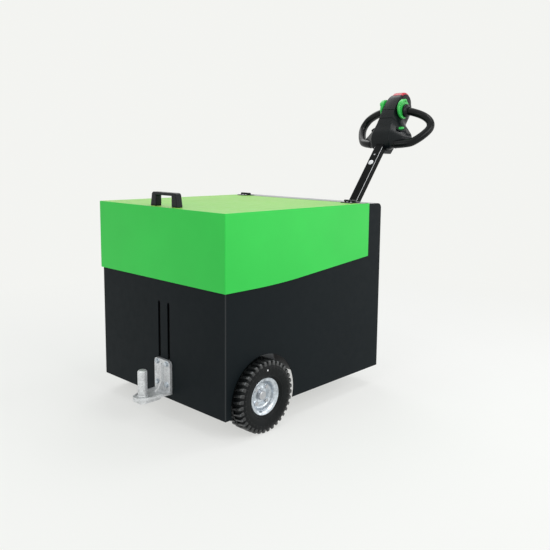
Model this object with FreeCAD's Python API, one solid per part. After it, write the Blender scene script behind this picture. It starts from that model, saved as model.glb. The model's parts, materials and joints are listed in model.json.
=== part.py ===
import FreeCAD, Part
import math
import os

# Electric tow tug: a pedestrian-steered towing machine.
# Millimetres, +Z up, floor at z = 0.  X runs from the hitch end to the tiller end, +Y is the left side.
# While modelling, x = 0 is the hood's hitch face; export moves the origin to the middle of the footprint.

os.makedirs("parts", exist_ok=True)

# ---------------------------------------------------------------- driving dimensions
# body and hood
hood_length = 758.0
console_depth = 91.0           # hood's rear edge to the tiller-end panel's face
hood_width = 729.0
hood_top = 762.0
hood_sheet = 2.0
hood_bend = 3.0                # outside radius of the hood's bends
hood_inset = 7.0               # body panels stand this far inside the hood's outside
hood_skirt_height = 257.0      # at the hitch face
hood_skirt_rise = 46.0         # the side skirt is this much shorter at the tiller end
skirt_level_run = 110.0        # level start of the side skirt's lower edge
skirt_bend_run = 220.0         # then the bend into the straight rise
ground_clearance = 77.0
panel_sheet = 3.0
panel_drop = 12.0              # hood's top to the top of the panels under it
cheek_drop = 3.5               # hood's top to the fixed top behind it
cheek_corner_radius = 20.0
flange_width = 25.0
seal_width = 12.0
seat_gap = 0.3                 # what rests without being fixed
moving_gap = 5.0               # what moves past its neighbour

# hood hinges and handle
hinge_setback = 45.0           # hood's rear edge to the hinge line
hinge_offset_y = 303.0
hinge_size = 55.0
hinge_leaf = 3.0
hinge_barrel_radius = 6.0
hinge_pin_radius = 3.0
hinge_middle_length = 21.0
running_gap = 0.05
axial_gap = 0.5
handle_x = 20.0
handle_depth = 25.0
handle_length = 156.0
handle_height = 50.0
handle_bar = 11.0
handle_foot = 34.0
handle_head_length = 140.0
handle_chamfer = 6.0
handle_offset_y = -18.0

# hitch
slot_width = 13.0
slot_spacing = 54.0
slot_bottom = 100.0
slot_top = 427.0
hitch_offset_y = -29.0
hitch_plate = 10.0
hitch_width = 90.0
hitch_bottom = 98.0
hitch_top = 219.0
hitch_corner = 13.0
tongue_reach = 93.0            # panel face to the tow pin's axis
tongue_neck_width = 68.0       # beside the tow pin
tongue_overhang = 32.0         # tow pin's axis to the tongue's front edge
tongue_front_width = 24.0
tongue_corner = 6.0
tongue_corner_width = 42.0
tongue_block_depth = 11.0      # under the tongue's plate
tongue_block_width = 60.0
tongue_block_inset = 4.0       # from the tongue's front edge
tongue_block_setback = 37.0    # panel face to the block's rear end
tongue_block_edge = 5.0
rib_width = 10.0
rib_depth = 8.0
rib_drop = 14.0                # hitch's top to the rib's top
rib_foot_run = 24.0
rib_foot_rise = 32.0
rib_toe = 5.0
tow_pin_radius = 16.5
tow_pin_height = 92.0
tow_pin_dome = 7.0
tow_pin_weld = 3.0
bolt_rows = (208.0, 132.0)
bolt_radius = 5.0
bolt_head_across = 14.5
bolt_head_height = 7.0
bolt_end = 12.0                # behind the panel
nut_height = 9.0

# main wheels
wheel_x = 169.0
tyre_radius = 127.0
tyre_width = 85.0
tyre_base_radius = 121.0       # floor of the tread's grooves
tyre_shoulder_radius = 104.0
tyre_tread_inset = 6.5         # tyre's widest place to the tread's edge
tyre_wall_radius = 82.0
tyre_wall_inset = 1.5
tyre_rib_width = 8.0           # unbroken band in the middle of the tread
tyre_lugs = 36                 # on each half of the tread
wheel_track = 695.0
rim_flange_radius = 65.5
rim_barrel_radius = 52.0
rim_sheet = 3.0
rim_width = 62.0
rim_dish = 22.0
hub_radius = 31.0
hub_flange_radius = 44.0
hub_flange = 8.0
hub_inner_end = 22.0           # wheel's middle plane to the hub's inner end
hub_cap_radius = 16.0
hub_cap_rise = 12.0            # in front of the rim's disc
hub_cap_chamfer = 2.5
hub_cap_wall = 4.0
rim_disc = 4.0
wheel_bolt_radius = 4.0
wheel_bolt_circle = 35.0
wheel_bolt_across = 13.0
wheel_bolt_height = 5.0
wheel_bolts = 4
axle_radius = 12.5
arch_radius = 150.5
arch_shift_x = 14.0
arch_drop = 10.0

# frame
rail_width = 40.0
rail_height = 60.0
rail_wall = 3.0
rail_inner_y = 215.0
rail_bottom = 240.0
deck_sheet = 5.0
deck_bay_gap = 13.0            # deck's rear edge to the drive bay
deck_setback = 26.0            # hitch panel to the deck's front edge, clear of the bolts' nuts
axle_beam = 50.0
axle_beam_length = 560.0
axle_bracket = 10.0
axle_bracket_length = 90.0
battery_x = 40.0
battery_bay_gap = 23.0
battery_width = 510.0
battery_height = 335.0

# drive bay
bay_depth = 323.0
bay_drop = 85.0                # hood's top to the bay's top
bay_bottom = 200.0
bay_sheet = 3.0
mount_plate_bottom = 280.0
mount_plate = 10.0
mount_plate_length = 286.0

# steering and drive
steer_setback = 110.0          # tiller-end panel to the steering axis
drive_wheel_radius = 115.0
drive_wheel_width = 75.0
drive_hub_radius = 82.0
drive_axle_radius = 12.5
yoke_leg = 12.0
yoke_leg_width = 90.0
yoke_wheel_gap = 9.0
crown_radius = 95.0
crown_bottom = 240.0
crown_height = 14.0
neck_radius = 60.0
neck_clearance = 2.0
bearing_outer_radius = 90.0
turntable_height = 12.0
motor_radius = 62.0
motor_height = 178.0
gearbox_depth = 30.0
gearbox_inset = 5.0            # each side, inside the leg's width
axle_end = 8.0                 # outside the yoke's legs
hub_boss_radius = 30.0
hub_face_inset = 4.0
ear_sheet = 10.0
ear_gap = 58.0                 # between the two ears
ear_round = 22.0
ear_back = 64.0                # steering axis to the back of the ears
ear_web = 10.0
ear_back_height = 60.0
ear_edge = 1.0

# tiller
tiller_pivot_reach = 165.0     # steering axis to the tiller's pivot
tiller_pivot_z = 432.0
tiller_tilt = 37.8             # from vertical
pivot_pin_radius = 8.0
pivot_pin_end = 6.0            # outside the ears
pivot_sleeve_radius = 18.0
pivot_side_gap = 1.0
arm_width = 48.0
arm_thickness = 32.0
arm_wall = 3.0
arm_corner = 5.0
arm_length = 720.0

# tiller head; along is from the arm's end, rise is above the arm's axis on its top side
# sections: along, then (half width, rise) of the top edge, the cheek, the flank and the belly
head_sections = (
    (-14.0, (44.0, -3.0), (50.0, -6.0), (46.0, -12.0), (26.0, -20.0)),
    (-4.0, (48.0, 14.0), (64.0, 2.0), (60.0, -16.0), (34.0, -32.0)),
    (15.0, (52.0, 32.0), (73.0, 10.0), (73.0, -28.0), (40.0, -42.0)),
    (45.0, (49.0, 46.0), (106.0, 4.0), (135.0, -28.0), (60.0, -50.0)),
    (80.0, (43.0, 52.0), (112.0, -12.0), (132.0, -24.0), (60.0, -54.0)),
    (130.0, (38.0, 62.0), (76.0, -28.0), (86.0, -38.0), (50.0, -58.0)),
    (175.0, (36.0, 69.0), (44.0, -16.0), (44.0, -44.0), (38.0, -60.0)),
    (230.0, (35.0, 70.0), (42.0, 5.0), (42.0, -38.0), (36.0, -60.0)),
    (260.0, (32.0, 66.0), (41.0, 8.0), (41.0, -36.0), (35.0, -57.0)),
    (280.0, (28.0, 55.0), (39.0, 8.0), (39.0, -30.0), (33.0, -50.0)),
    (296.0, (22.0, 38.0), (36.0, 4.0), (36.0, -18.0), (26.0, -38.0)),
)
# middle line of the handle's tube, from the upper bar to the lower one: half width, along, rise
loop_path = (
    (0.0, 211.0, 15.0), (73.0, 209.0, 9.0), (117.0, 204.0, -1.0), (151.0, 197.0, -13.0),
    (176.0, 186.0, -23.0), (192.0, 172.0, -32.0), (200.0, 154.0, -37.0), (200.0, 134.0, -39.0),
    (191.0, 108.0, -37.0), (171.0, 73.0, -32.0), (145.0, 41.0, -25.0), (118.0, 26.0, -17.0),
    (83.0, 16.0, -10.0), (38.0, 11.0, -4.0), (0.0, 10.0, -2.0),
)
loop_tube_radius = 19.5
collar_radius = 25.0
collar_reach = 60.0            # middle to the collar's outer face
thumb_wheel_at = 208.0
thumb_wheel_rise = 28.0
thumb_wheel_radius = 48.0
thumb_wheel_inner = 45.5       # middle to the wheel's inner face
thumb_wheel_width = 12.0
thumb_wheel_edge = 3.0
thumb_wing_radius = 50.0
thumb_wing_hollow = 38.0
thumb_wing_reach = 66.0        # middle to the wing's outer face
thumb_wing_start = 15.0        # degrees from the arm's direction towards its top side
thumb_wing_end = 105.0
side_button_at = 101.0
side_button_rise = 4.0
side_button_turn = 42.0        # degrees from the arm's direction towards the belly
side_button_depth = 3.0
side_button_length = 44.0
side_button_width = 16.0
cap_half_width = 31.0
cap_top = (274.0, 60.0)        # along and rise of the cap's two ends and of its crown
cap_crown = (318.0, 8.0)
cap_belly = (284.0, -38.0)
cap_edge = 9.0
bracket_half_width = 22.0
bracket_profile = ((-36.0, -16.0), (-1.0, -66.0), (37.0, -70.0), (55.0, -45.0), (-8.0, -16.0))

# ---------------------------------------------------------------- derived places
half_hood = hood_width / 2
body_length = hood_length + console_depth
half_body = half_hood - hood_inset
panel_x = hood_inset
panel_top = hood_top - panel_drop
cheek_top = hood_top - cheek_drop
bay_top = hood_top - bay_drop
hinge_line_x = hood_length - hinge_setback
bay_x = body_length - bay_depth - bay_sheet
wheel_z = tyre_radius
steer_x = body_length - steer_setback
pivot_x = steer_x + tiller_pivot_reach
rail_top = rail_bottom + rail_height
disc_reach = wheel_track / 2 + rim_width / 2 - rim_dish
hub_cap_face = disc_reach + hub_cap_rise
hitch_face = panel_x - hitch_plate
tongue_top = hitch_bottom + hitch_plate
tow_pin_x = panel_x - tongue_reach
collar_at = (loop_path[0][1] + loop_path[1][1]) / 2
collar_rise = (loop_path[0][2] + loop_path[1][2]) / 2
bay_half = rail_inner_y - bay_sheet
pieces = {}


def v(x, y, z):
    return FreeCAD.Vector(x, y, z)


def box(x0, x1, y0, y1, z0, z1):
    return Part.makeBox(x1 - x0, y1 - y0, z1 - z0, v(x0, y0, z0))


def cylinder(radius, length, base, axis):
    return Part.makeCylinder(radius, length, base, axis)


def along_y(radius, x, y0, y1, z):
    return cylinder(radius, y1 - y0, v(x, y0, z), v(0, 1, 0))


def upright(radius, x, y, z0, z1):
    return cylinder(radius, z1 - z0, v(x, y, z0), v(0, 0, 1))


def face_of(edges):
    return Part.Face(Part.Wire(edges))


def polygon(points):
    return Part.Face(Part.makePolygon(points + [points[0]]))


def side_profile(points, y0, y1):
    """Outline in the X-Z plane, as thick as y0 to y1."""
    return polygon([v(x, y0, z) for x, z in points]).extrude(v(0, y1 - y0, 0))


def plan_profile(points, z0, z1):
    """Outline in the X-Y plane, from z0 up to z1."""
    return polygon([v(x, y, z0) for x, y in points]).extrude(v(0, 0, z1 - z0))


def fillet(shape, radius, chosen):
    edges = [edge for edge in shape.Edges if chosen(edge)]
    return shape.makeFillet(radius, edges)


def is_along(edge, direction):
    if not isinstance(edge.Curve, Part.Line):
        return False
    return abs(abs(edge.tangentAt(edge.FirstParameter).dot(direction)) - 1) < 1e-6


def mirrored(shape):
    return shape.mirror(v(0, 0, 0), v(0, 1, 0))


def both(shape):
    """The right-hand piece and its mirrored twin."""
    return Part.makeCompound([shape, mirrored(shape)])


def hexagon(across, base, axis, height):
    """Hexagonal prism that stands on its base's centre along the axis."""
    radius = across / math.sqrt(3)
    up = v(0, 0, 1)
    aside = axis.cross(up)
    turns = [math.radians(60 * i) for i in range(6)]
    points = [base + aside * (radius * math.cos(t)) + up * (radius * math.sin(t)) for t in turns]
    return polygon(points).extrude(axis * height)


def closed_solid(faces):
    shell = Part.makeShell(faces)
    shell.sewShape()
    solid = Part.makeSolid(shell)
    if solid.Volume < 0:
        solid.reverse()
    return solid


# ---------------------------------------------------------------- body panels
def side_panel():
    """Right-hand panel: a plain sheet with the wheel arch and a top flange for the hood's seal."""
    outer = -half_body
    inner = outer + panel_sheet
    start = panel_x + panel_sheet
    step_x = hinge_line_x + moving_gap
    corner = cheek_corner_radius
    outline = [
        Part.LineSegment(v(start, outer, ground_clearance), v(body_length, outer, ground_clearance)),
        Part.LineSegment(v(body_length, outer, ground_clearance), v(body_length, outer, cheek_top - corner)),
        Part.Arc(
            v(body_length, outer, cheek_top - corner),
            v(body_length - corner * (1 - math.sqrt(0.5)), outer, cheek_top - corner * (1 - math.sqrt(0.5))),
            v(body_length - corner, outer, cheek_top),
        ),
        Part.LineSegment(v(body_length - corner, outer, cheek_top), v(step_x, outer, cheek_top)),
        Part.LineSegment(v(step_x, outer, cheek_top), v(step_x, outer, panel_top)),
        Part.LineSegment(v(step_x, outer, panel_top), v(start, outer, panel_top)),
        Part.LineSegment(v(start, outer, panel_top), v(start, outer, ground_clearance)),
    ]
    sheet = face_of([segment.toShape() for segment in outline]).extrude(v(0, panel_sheet, 0))
    flange = box(start, step_x, inner, inner + flange_width, panel_top - panel_sheet, panel_top)
    arch = along_y(arch_radius, wheel_x + arch_shift_x, outer - 1, inner + 1, wheel_z - arch_drop)
    return sheet.fuse(flange).cut(arch).removeSplitter()


def hitch_panel():
    """Panel behind the hitch, with the two upright slots that set the hitch's height."""
    sheet = box(panel_x, panel_x + panel_sheet, -half_body, half_body, ground_clearance, panel_top)
    flange = box(
        panel_x + panel_sheet, panel_x + panel_sheet + flange_width,
        -half_body + panel_sheet + flange_width, half_body - panel_sheet - flange_width,
        panel_top - panel_sheet, panel_top,
    )
    panel = sheet.fuse(flange)
    for side in (-1, 1):
        y = hitch_offset_y + side * slot_spacing / 2
        radius = slot_width / 2
        panel = panel.cut(box(
            panel_x - 1, panel_x + panel_sheet + 1, y - radius, y + radius,
            slot_bottom + radius, slot_top - radius,
        ))
        for z in (slot_bottom + radius, slot_top - radius):
            panel = panel.cut(cylinder(radius, panel_sheet + 2, v(panel_x - 1, y, z), v(1, 0, 0)))
    return panel.removeSplitter()


def tiller_panel():
    """Panel at the tiller end, open below and in the middle for the drive bay."""
    inner = half_body - panel_sheet
    sheet = box(
        body_length - panel_sheet, body_length, -inner, inner,
        ground_clearance, cheek_top - cheek_corner_radius,
    )
    opening = box(
        body_length - panel_sheet - 1, body_length + 1, -bay_half, bay_half,
        ground_clearance - 1, bay_top - bay_sheet,
    )
    return sheet.cut(opening)


def console():
    """Fixed top behind the hood, bent down into the tiller-end panel."""
    inner = half_body - panel_sheet
    corner = cheek_corner_radius
    middle = math.sqrt(0.5)
    x0 = hinge_line_x + moving_gap
    x1 = body_length

    def strip(offset):
        radius = corner - offset
        cx = x1 - corner
        cz = cheek_top - corner
        return (v(x0, -inner, cheek_top - offset), v(cx, -inner, cheek_top - offset),
                v(cx + radius * middle, -inner, cz + radius * middle), v(cx + radius, -inner, cz))

    a, b, c, d = strip(0)
    e, f, g, h = strip(panel_sheet)
    edges = [
        Part.LineSegment(a, b).toShape(), Part.Arc(b, c, d).toShape(), Part.LineSegment(d, h).toShape(),
        Part.Arc(h, g, f).toShape(), Part.LineSegment(f, e).toShape(), Part.LineSegment(e, a).toShape(),
    ]
    return face_of(edges).extrude(v(0, 2 * inner, 0))


def hood_seal():
    """Rubber strip on the top flanges, under the hood's edge."""
    outer = half_body - 1
    inner = outer - seal_width
    x0 = panel_x + 1
    x1 = hinge_line_x + moving_gap - 2
    top = hood_top - hood_sheet - seat_gap
    whole = box(x0, x1, -outer, outer, panel_top, top)
    hollow = box(x0 + seal_width, x1 + 1, -inner, inner, panel_top - 1, top + 1)
    return whole.cut(hollow)


def hinge_rail():
    """Strip behind the hood's rear edge, which carries the fixed hinge leaves."""
    return box(
        hinge_line_x + moving_gap, hood_length, -half_body, half_body, cheek_top, hood_top,
    )


# ---------------------------------------------------------------- hood
def hood():
    """Cover over the top and the upper part of three sides, open at the tiller end."""
    bottom = hood_top - hood_skirt_height
    whole = box(0, hood_length, -half_hood, half_hood, bottom, hood_top)
    whole = fillet(whole, hood_bend, lambda e: (
        (is_along(e, v(0, 0, 1)) and e.CenterOfMass.x < 1)
        or (e.CenterOfMass.z > hood_top - 1 and e.CenterOfMass.x < hood_length - 1)))
    inside = box(
        hood_sheet, hood_length + 1, -half_hood + hood_sheet, half_hood - hood_sheet,
        bottom - 1, hood_top - hood_sheet,
    )
    shell = whole.cut(inside)
    shell = shell.cut(box(
        hinge_line_x - moving_gap / 2, hood_length + 1, -half_hood + hood_sheet, half_hood - hood_sheet,
        hood_top - hood_sheet - 1, hood_top + 1,
    ))
    # the side skirts' lower edge: level, then a gentle bend into a straight rise
    level = skirt_level_run
    slope = hood_skirt_rise / (hood_length - level)
    bend = skirt_bend_run
    start = v(level, -half_hood - 1, bottom)
    corner = v(level + bend / 2, -half_hood - 1, bottom)
    after = v(level + bend, -half_hood - 1, bottom + slope * bend / 2)
    middle = (start + corner * 2 + after) * 0.25
    end = v(hood_length + 1, -half_hood - 1, bottom + hood_skirt_rise)
    below = v(hood_length + 1, -half_hood - 1, bottom - 1)
    back = v(level, -half_hood - 1, bottom - 1)
    trim = face_of([
        Part.Arc(start, middle, after).toShape(), Part.LineSegment(after, end).toShape(),
        Part.LineSegment(end, below).toShape(), Part.LineSegment(below, back).toShape(),
        Part.LineSegment(back, start).toShape(),
    ]).extrude(v(0, hood_width + 2, 0))
    return shell.cut(trim)


def hood_handle():
    """Bridge handle across the hood's hitch edge, with upright inner sides and flared feet."""
    half = handle_length / 2
    head = handle_head_length / 2
    gap = half - handle_foot
    top = hood_top + handle_height
    chamfer = handle_chamfer
    y0 = handle_offset_y
    outline = [
        (y0 - half, hood_top), (y0 - head, top - chamfer), (y0 - head + chamfer, top),
        (y0 + head - chamfer, top), (y0 + head, top - chamfer), (y0 + half, hood_top), (y0 + gap, hood_top),
        (y0 + gap, top - handle_bar), (y0 - gap, top - handle_bar), (y0 - gap, hood_top),
    ]
    bar = polygon([v(handle_x, y, z) for y, z in outline])
    return bar.extrude(v(handle_depth, 0, 0))


def hinge_leaf_piece(y, fixed):
    """One leaf of a hood hinge: the fixed one has the middle of the barrel and the pin."""
    half = hinge_size / 2
    middle = hinge_middle_length / 2
    axis_z = hood_top + hinge_barrel_radius
    x_far = hinge_line_x + (half if fixed else -half)
    plate = box(
        min(hinge_line_x, x_far), max(hinge_line_x, x_far), y - half, y + half,
        hood_top, hood_top + hinge_leaf,
    )
    spans = [(-middle, middle)] if fixed else [
        (-half, -middle - axial_gap), (middle + axial_gap, half),
    ]
    others = [(-half - 1, -middle), (middle, half + 1)] if fixed else [
        (-middle - axial_gap, middle + axial_gap),
    ]
    leaf = plate
    for a, b in spans:
        leaf = leaf.fuse(along_y(hinge_barrel_radius, hinge_line_x, y + a, y + b, axis_z))
    for a, b in others:
        leaf = leaf.cut(along_y(hinge_barrel_radius + 1, hinge_line_x, y + a, y + b, axis_z))
    if fixed:
        pin = along_y(hinge_pin_radius, hinge_line_x, y - half, y + half, axis_z)
        return leaf.fuse(pin).removeSplitter()
    bore = along_y(hinge_pin_radius + running_gap, hinge_line_x, y - half - 1, y + half + 1, axis_z)
    return leaf.cut(bore).removeSplitter()


# ---------------------------------------------------------------- hitch
def hitch_bracket():
    """Cast bracket: an upright leg bolted to the panel, a rib down its front and a tongue for the pin."""
    half = hitch_width / 2
    y0 = hitch_offset_y
    front = tow_pin_x - tongue_overhang
    leg = box(hitch_face, panel_x, y0 - half, y0 + half, hitch_bottom, hitch_top)
    leg = fillet(leg, hitch_corner, lambda e: is_along(e, v(1, 0, 0)) and e.CenterOfMass.z > hitch_top - 1)
    outline = [
        (panel_x, half), (tow_pin_x, tongue_neck_width / 2), (front + tongue_corner, tongue_corner_width / 2),
        (front, tongue_front_width / 2),
    ]
    plan = [(x, y0 - y) for x, y in outline] + [(x, y0 + y) for x, y in reversed(outline)]
    tongue = plan_profile(plan, hitch_bottom, tongue_top)
    low = hitch_bottom - tongue_block_depth
    x0 = front + tongue_block_inset
    x1 = panel_x - tongue_block_setback
    half = tongue_block_width / 2
    block = box(x0, x1, y0 - half, y0 + half, low, hitch_bottom)
    block = block.common(plan_profile(plan, low, hitch_bottom))
    block = fillet(block, tongue_block_edge, lambda e: (
        is_along(e, v(0, 1, 0)) and e.CenterOfMass.z < low + 1 and e.CenterOfMass.x < x0 + 1))
    block = fillet(block, tongue_block_depth - 1, lambda e: (
        is_along(e, v(0, 1, 0)) and e.CenterOfMass.z < low + 1 and e.CenterOfMass.x > x1 - 1))
    top = hitch_top - rib_drop
    proud = hitch_face - rib_depth
    rib = side_profile([
        (hitch_face, tongue_top), (hitch_face, top),
        (proud + rib_depth / 4, top), (proud, top - rib_depth / 4),
        (proud, tongue_top + rib_foot_rise), (proud - rib_foot_run / 2, tongue_top + rib_foot_rise / 4),
        (proud - rib_foot_run, tongue_top),
    ], y0 - rib_width / 2, y0 + rib_width / 2)
    bracket = leg.fuse(tongue).fuse(block).fuse(rib).removeSplitter()
    for side in (-1, 1):
        for z in bolt_rows:
            bracket = bracket.cut(cylinder(
                bolt_radius + running_gap, hitch_plate + 2,
                v(hitch_face - 1, y0 + side * slot_spacing / 2, z), v(1, 0, 0)))
    return bracket


def tow_pin():
    """Upright drawbar pin with a domed top, welded on the tongue."""
    top = tongue_top + tow_pin_height
    pin = upright(tow_pin_radius, tow_pin_x, hitch_offset_y, tongue_top, top)
    pin = fillet(pin, tow_pin_dome, lambda e: (
        e.CenterOfMass.z > top - 1 and not isinstance(e.Curve, Part.Line)))
    weld = Part.makeCone(
        tow_pin_radius + tow_pin_weld, tow_pin_radius, tow_pin_weld, v(tow_pin_x, hitch_offset_y, tongue_top))
    return pin.fuse(weld)


def hitch_bolts():
    """Four bolts through the bracket and the slots, with nuts behind the panel."""
    bolts = []
    back = panel_x + panel_sheet
    for side in (-1, 1):
        y = hitch_offset_y + side * slot_spacing / 2
        for z in bolt_rows:
            head = hexagon(bolt_head_across, v(hitch_face, y, z), v(-1, 0, 0), bolt_head_height)
            shank = cylinder(bolt_radius, back - hitch_face + bolt_end, v(hitch_face, y, z), v(1, 0, 0))
            nut = hexagon(bolt_head_across, v(back, y, z), v(1, 0, 0), nut_height)
            bolts.append(head.fuse(shank).fuse(nut).removeSplitter())
    return Part.makeCompound(bolts)


# ---------------------------------------------------------------- frame
def rail():
    outer = box(
        panel_x + panel_sheet, body_length - panel_sheet, -rail_inner_y - rail_width, -rail_inner_y,
        rail_bottom, rail_top,
    )
    inner = box(
        panel_x, body_length, -rail_inner_y - rail_width + rail_wall, -rail_inner_y - rail_wall,
        rail_bottom + rail_wall, rail_top - rail_wall,
    )
    return outer.cut(inner)


def deck():
    """Battery floor, from one side panel to the other on top of the rails."""
    inner = half_body - panel_sheet
    x0 = panel_x + panel_sheet + deck_setback
    return box(x0, bay_x - deck_bay_gap, -inner, inner, rail_top, rail_top + deck_sheet)


def battery():
    z0 = rail_top + deck_sheet
    half = battery_width / 2
    return box(battery_x, bay_x - battery_bay_gap, -half, half, z0, z0 + battery_height)


def axle():
    """Square beam across the machine, its hangers under the rails and the wheels' round stubs."""
    half = axle_beam / 2
    end = axle_beam_length / 2
    beam = box(wheel_x - half, wheel_x + half, -end, end, wheel_z - half, wheel_z + half)
    reach = hub_cap_face - hub_cap_wall - axial_gap
    beam = beam.fuse(along_y(axle_radius, wheel_x, -reach, reach, wheel_z))
    half = axle_bracket_length / 2
    for side in (-1, 1):
        y = side * (rail_inner_y + rail_width / 2)
        beam = beam.fuse(box(
            wheel_x - half, wheel_x + half, y - axle_bracket / 2, y + axle_bracket / 2,
            wheel_z + axle_beam / 2, rail_bottom,
        ))
    return beam.removeSplitter()


# ---------------------------------------------------------------- main wheels
def turned(profile, x, z):
    """Solid turned about the wheel's axle; the profile is (radius, y) points."""
    face = polygon([v(x, y, z + radius) for radius, y in profile])
    return face.revolve(v(x, 0, z), v(0, 1, 0), 360)


def tyre():
    """Right-hand tyre: a ring of flat facets with a middle rib and a row of staggered lugs on each side."""
    sectors = 2 * tyre_lugs
    step = 2 * math.pi / sectors
    stretch = 1 / math.cos(step / 2)
    widest = tyre_width / 2
    bead = rim_width / 2 - rim_sheet
    edge = widest - tyre_tread_inset
    rib = tyre_rib_width / 2
    wall = [
        (rim_barrel_radius, bead), (rim_flange_radius + 1, bead),
        (tyre_wall_radius, widest - tyre_wall_inset), (tyre_shoulder_radius, widest),
    ]

    def point(radius, y, k):
        angle = (k - 0.5) * step - math.pi / 2
        reach = radius * stretch
        return v(wheel_x + reach * math.cos(angle), y - wheel_track / 2, wheel_z + reach * math.sin(angle))

    def band(a, b, k):
        """Flat facet of sector k between two (radius, y) places."""
        return polygon([point(*a, k), point(*b, k), point(*b, k + 1), point(*a, k + 1)])

    faces = []
    for k in range(sectors):
        faces.append(band((rim_barrel_radius, -bead), (rim_barrel_radius, bead), k))
        faces.append(band((tyre_radius, -rib), (tyre_radius, rib), k))
        for side in (-1, 1):
            is_lug = (k % 2 == 0) == (side > 0)
            height = tyre_radius if is_lug else tyre_base_radius
            rows = wall + [(height, edge), (height, rib)]
            for (r0, y0), (r1, y1) in zip(rows, rows[1:]):
                faces.append(band((r0, side * y0), (r1, side * y1), k))
            if not is_lug:
                faces.append(band((tyre_base_radius, side * rib), (tyre_radius, side * rib), k))
            flank = [
                (tyre_shoulder_radius, widest), (tyre_radius, edge), (tyre_radius, rib),
                (tyre_base_radius, rib), (tyre_base_radius, edge),
            ]
            faces.append(polygon([point(r, side * y, k) for r, y in flank]))
    return closed_solid(faces)


def wheel_bolt_places():
    """Centres of the wheel bolts in the X-Z plane."""
    places = []
    for i in range(wheel_bolts):
        angle = 2 * math.pi * (i + 0.5) / wheel_bolts
        places.append((
            wheel_x + wheel_bolt_circle * math.cos(angle), wheel_z + wheel_bolt_circle * math.sin(angle)))
    return places


def rim():
    """Pressed rim: two flanges, a barrel and a dished centre disc."""
    y0 = -wheel_track / 2
    half = rim_width / 2
    outer = rim_barrel_radius
    inner = rim_barrel_radius - rim_sheet
    barrel = [
        (rim_flange_radius, half), (rim_flange_radius, half - rim_sheet), (outer, half - rim_sheet),
        (outer, -half + rim_sheet), (rim_flange_radius, -half + rim_sheet), (rim_flange_radius, -half),
        (inner, -half), (inner, half),
    ]
    bore = hub_cap_radius + seat_gap
    disc = [
        (bore, -disc_reach), (inner + 1, -disc_reach),
        (inner + 1, rim_disc - disc_reach), (bore, rim_disc - disc_reach),
    ]
    wheel = turned([(r, y0 + y) for r, y in barrel], wheel_x, wheel_z)
    wheel = wheel.fuse(turned(disc, wheel_x, wheel_z))
    for x, z in wheel_bolt_places():
        wheel = wheel.cut(along_y(
            wheel_bolt_radius + running_gap, x, -disc_reach - 1, rim_disc - disc_reach + 1, z))
    return wheel.removeSplitter()


def hub():
    """Bearing hub: a sleeve on the axle's stub, a flange behind the rim's disc, a cap and the bolts."""
    disc_back = disc_reach - rim_disc
    inner_end = wheel_track / 2 - hub_inner_end
    bore = axle_radius + running_gap
    profile = [
        (0, hub_cap_face), (hub_cap_radius - hub_cap_chamfer, hub_cap_face),
        (hub_cap_radius, hub_cap_face - hub_cap_chamfer), (hub_cap_radius, disc_back),
        (hub_flange_radius, disc_back), (hub_flange_radius, disc_back - hub_flange),
        (hub_radius, disc_back - hub_flange), (hub_radius, inner_end), (bore, inner_end),
        (bore, hub_cap_face - hub_cap_wall), (0, hub_cap_face - hub_cap_wall),
    ]
    body = turned([(r, -y) for r, y in profile], wheel_x, wheel_z)
    for x, z in wheel_bolt_places():
        body = body.fuse(along_y(wheel_bolt_radius, x, -disc_reach, -disc_back, z))
        body = body.fuse(hexagon(wheel_bolt_across, v(x, -disc_reach, z), v(0, -1, 0), wheel_bolt_height))
    return body.removeSplitter()


# ---------------------------------------------------------------- drive bay
def drive_bay():
    """Sheet housing round the drive unit: two sides, a front and a roof."""
    x1 = body_length - panel_sheet
    outer = box(bay_x, x1, -rail_inner_y, rail_inner_y, bay_bottom, bay_top)
    inner = box(bay_x + bay_sheet, x1 + 1, -bay_half, bay_half, bay_bottom - 1, bay_top - bay_sheet)
    return outer.cut(inner)


def mount_plate_piece():
    x1 = body_length - panel_sheet
    plate = box(
        x1 - mount_plate_length, x1, -bay_half, bay_half,
        mount_plate_bottom, mount_plate_bottom + mount_plate,
    )
    z = mount_plate_bottom
    return plate.cut(upright(neck_radius + neck_clearance, steer_x, 0, z - 1, z + mount_plate + 1))


def steer_bearing():
    """Fixed ring of the slewing bearing, under the mounting plate."""
    z0 = crown_bottom + crown_height + seat_gap
    ring = upright(bearing_outer_radius, steer_x, 0, z0, mount_plate_bottom)
    return ring.cut(upright(neck_radius + running_gap, steer_x, 0, z0 - 1, mount_plate_bottom + 1))


# ---------------------------------------------------------------- steering unit
def yoke():
    """Crown, neck and two legs that hold the drive wheel's axle."""
    inner = drive_wheel_width / 2 + yoke_wheel_gap
    outer = inner + yoke_leg
    crown_top = crown_bottom + crown_height
    half = yoke_leg_width / 2
    body = upright(crown_radius, steer_x, 0, crown_bottom, crown_top)
    body = body.fuse(upright(neck_radius, steer_x, 0, crown_top, mount_plate_bottom + mount_plate + seat_gap))
    for side in (-1, 1):
        y0, y1 = sorted((side * inner, side * outer))
        leg = box(steer_x - half, steer_x + half, y0, y1, drive_wheel_radius, crown_bottom)
        foot = along_y(half, steer_x, y0, y1, drive_wheel_radius)
        body = body.fuse(leg).fuse(foot)
        body = body.cut(along_y(drive_axle_radius + running_gap, steer_x, y0 - 1, y1 + 1, drive_wheel_radius))
    return body.removeSplitter()


def drive_axle():
    half = drive_wheel_width / 2 + yoke_wheel_gap + yoke_leg + axle_end
    return along_y(drive_axle_radius, steer_x, -half, half, drive_wheel_radius)


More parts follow.
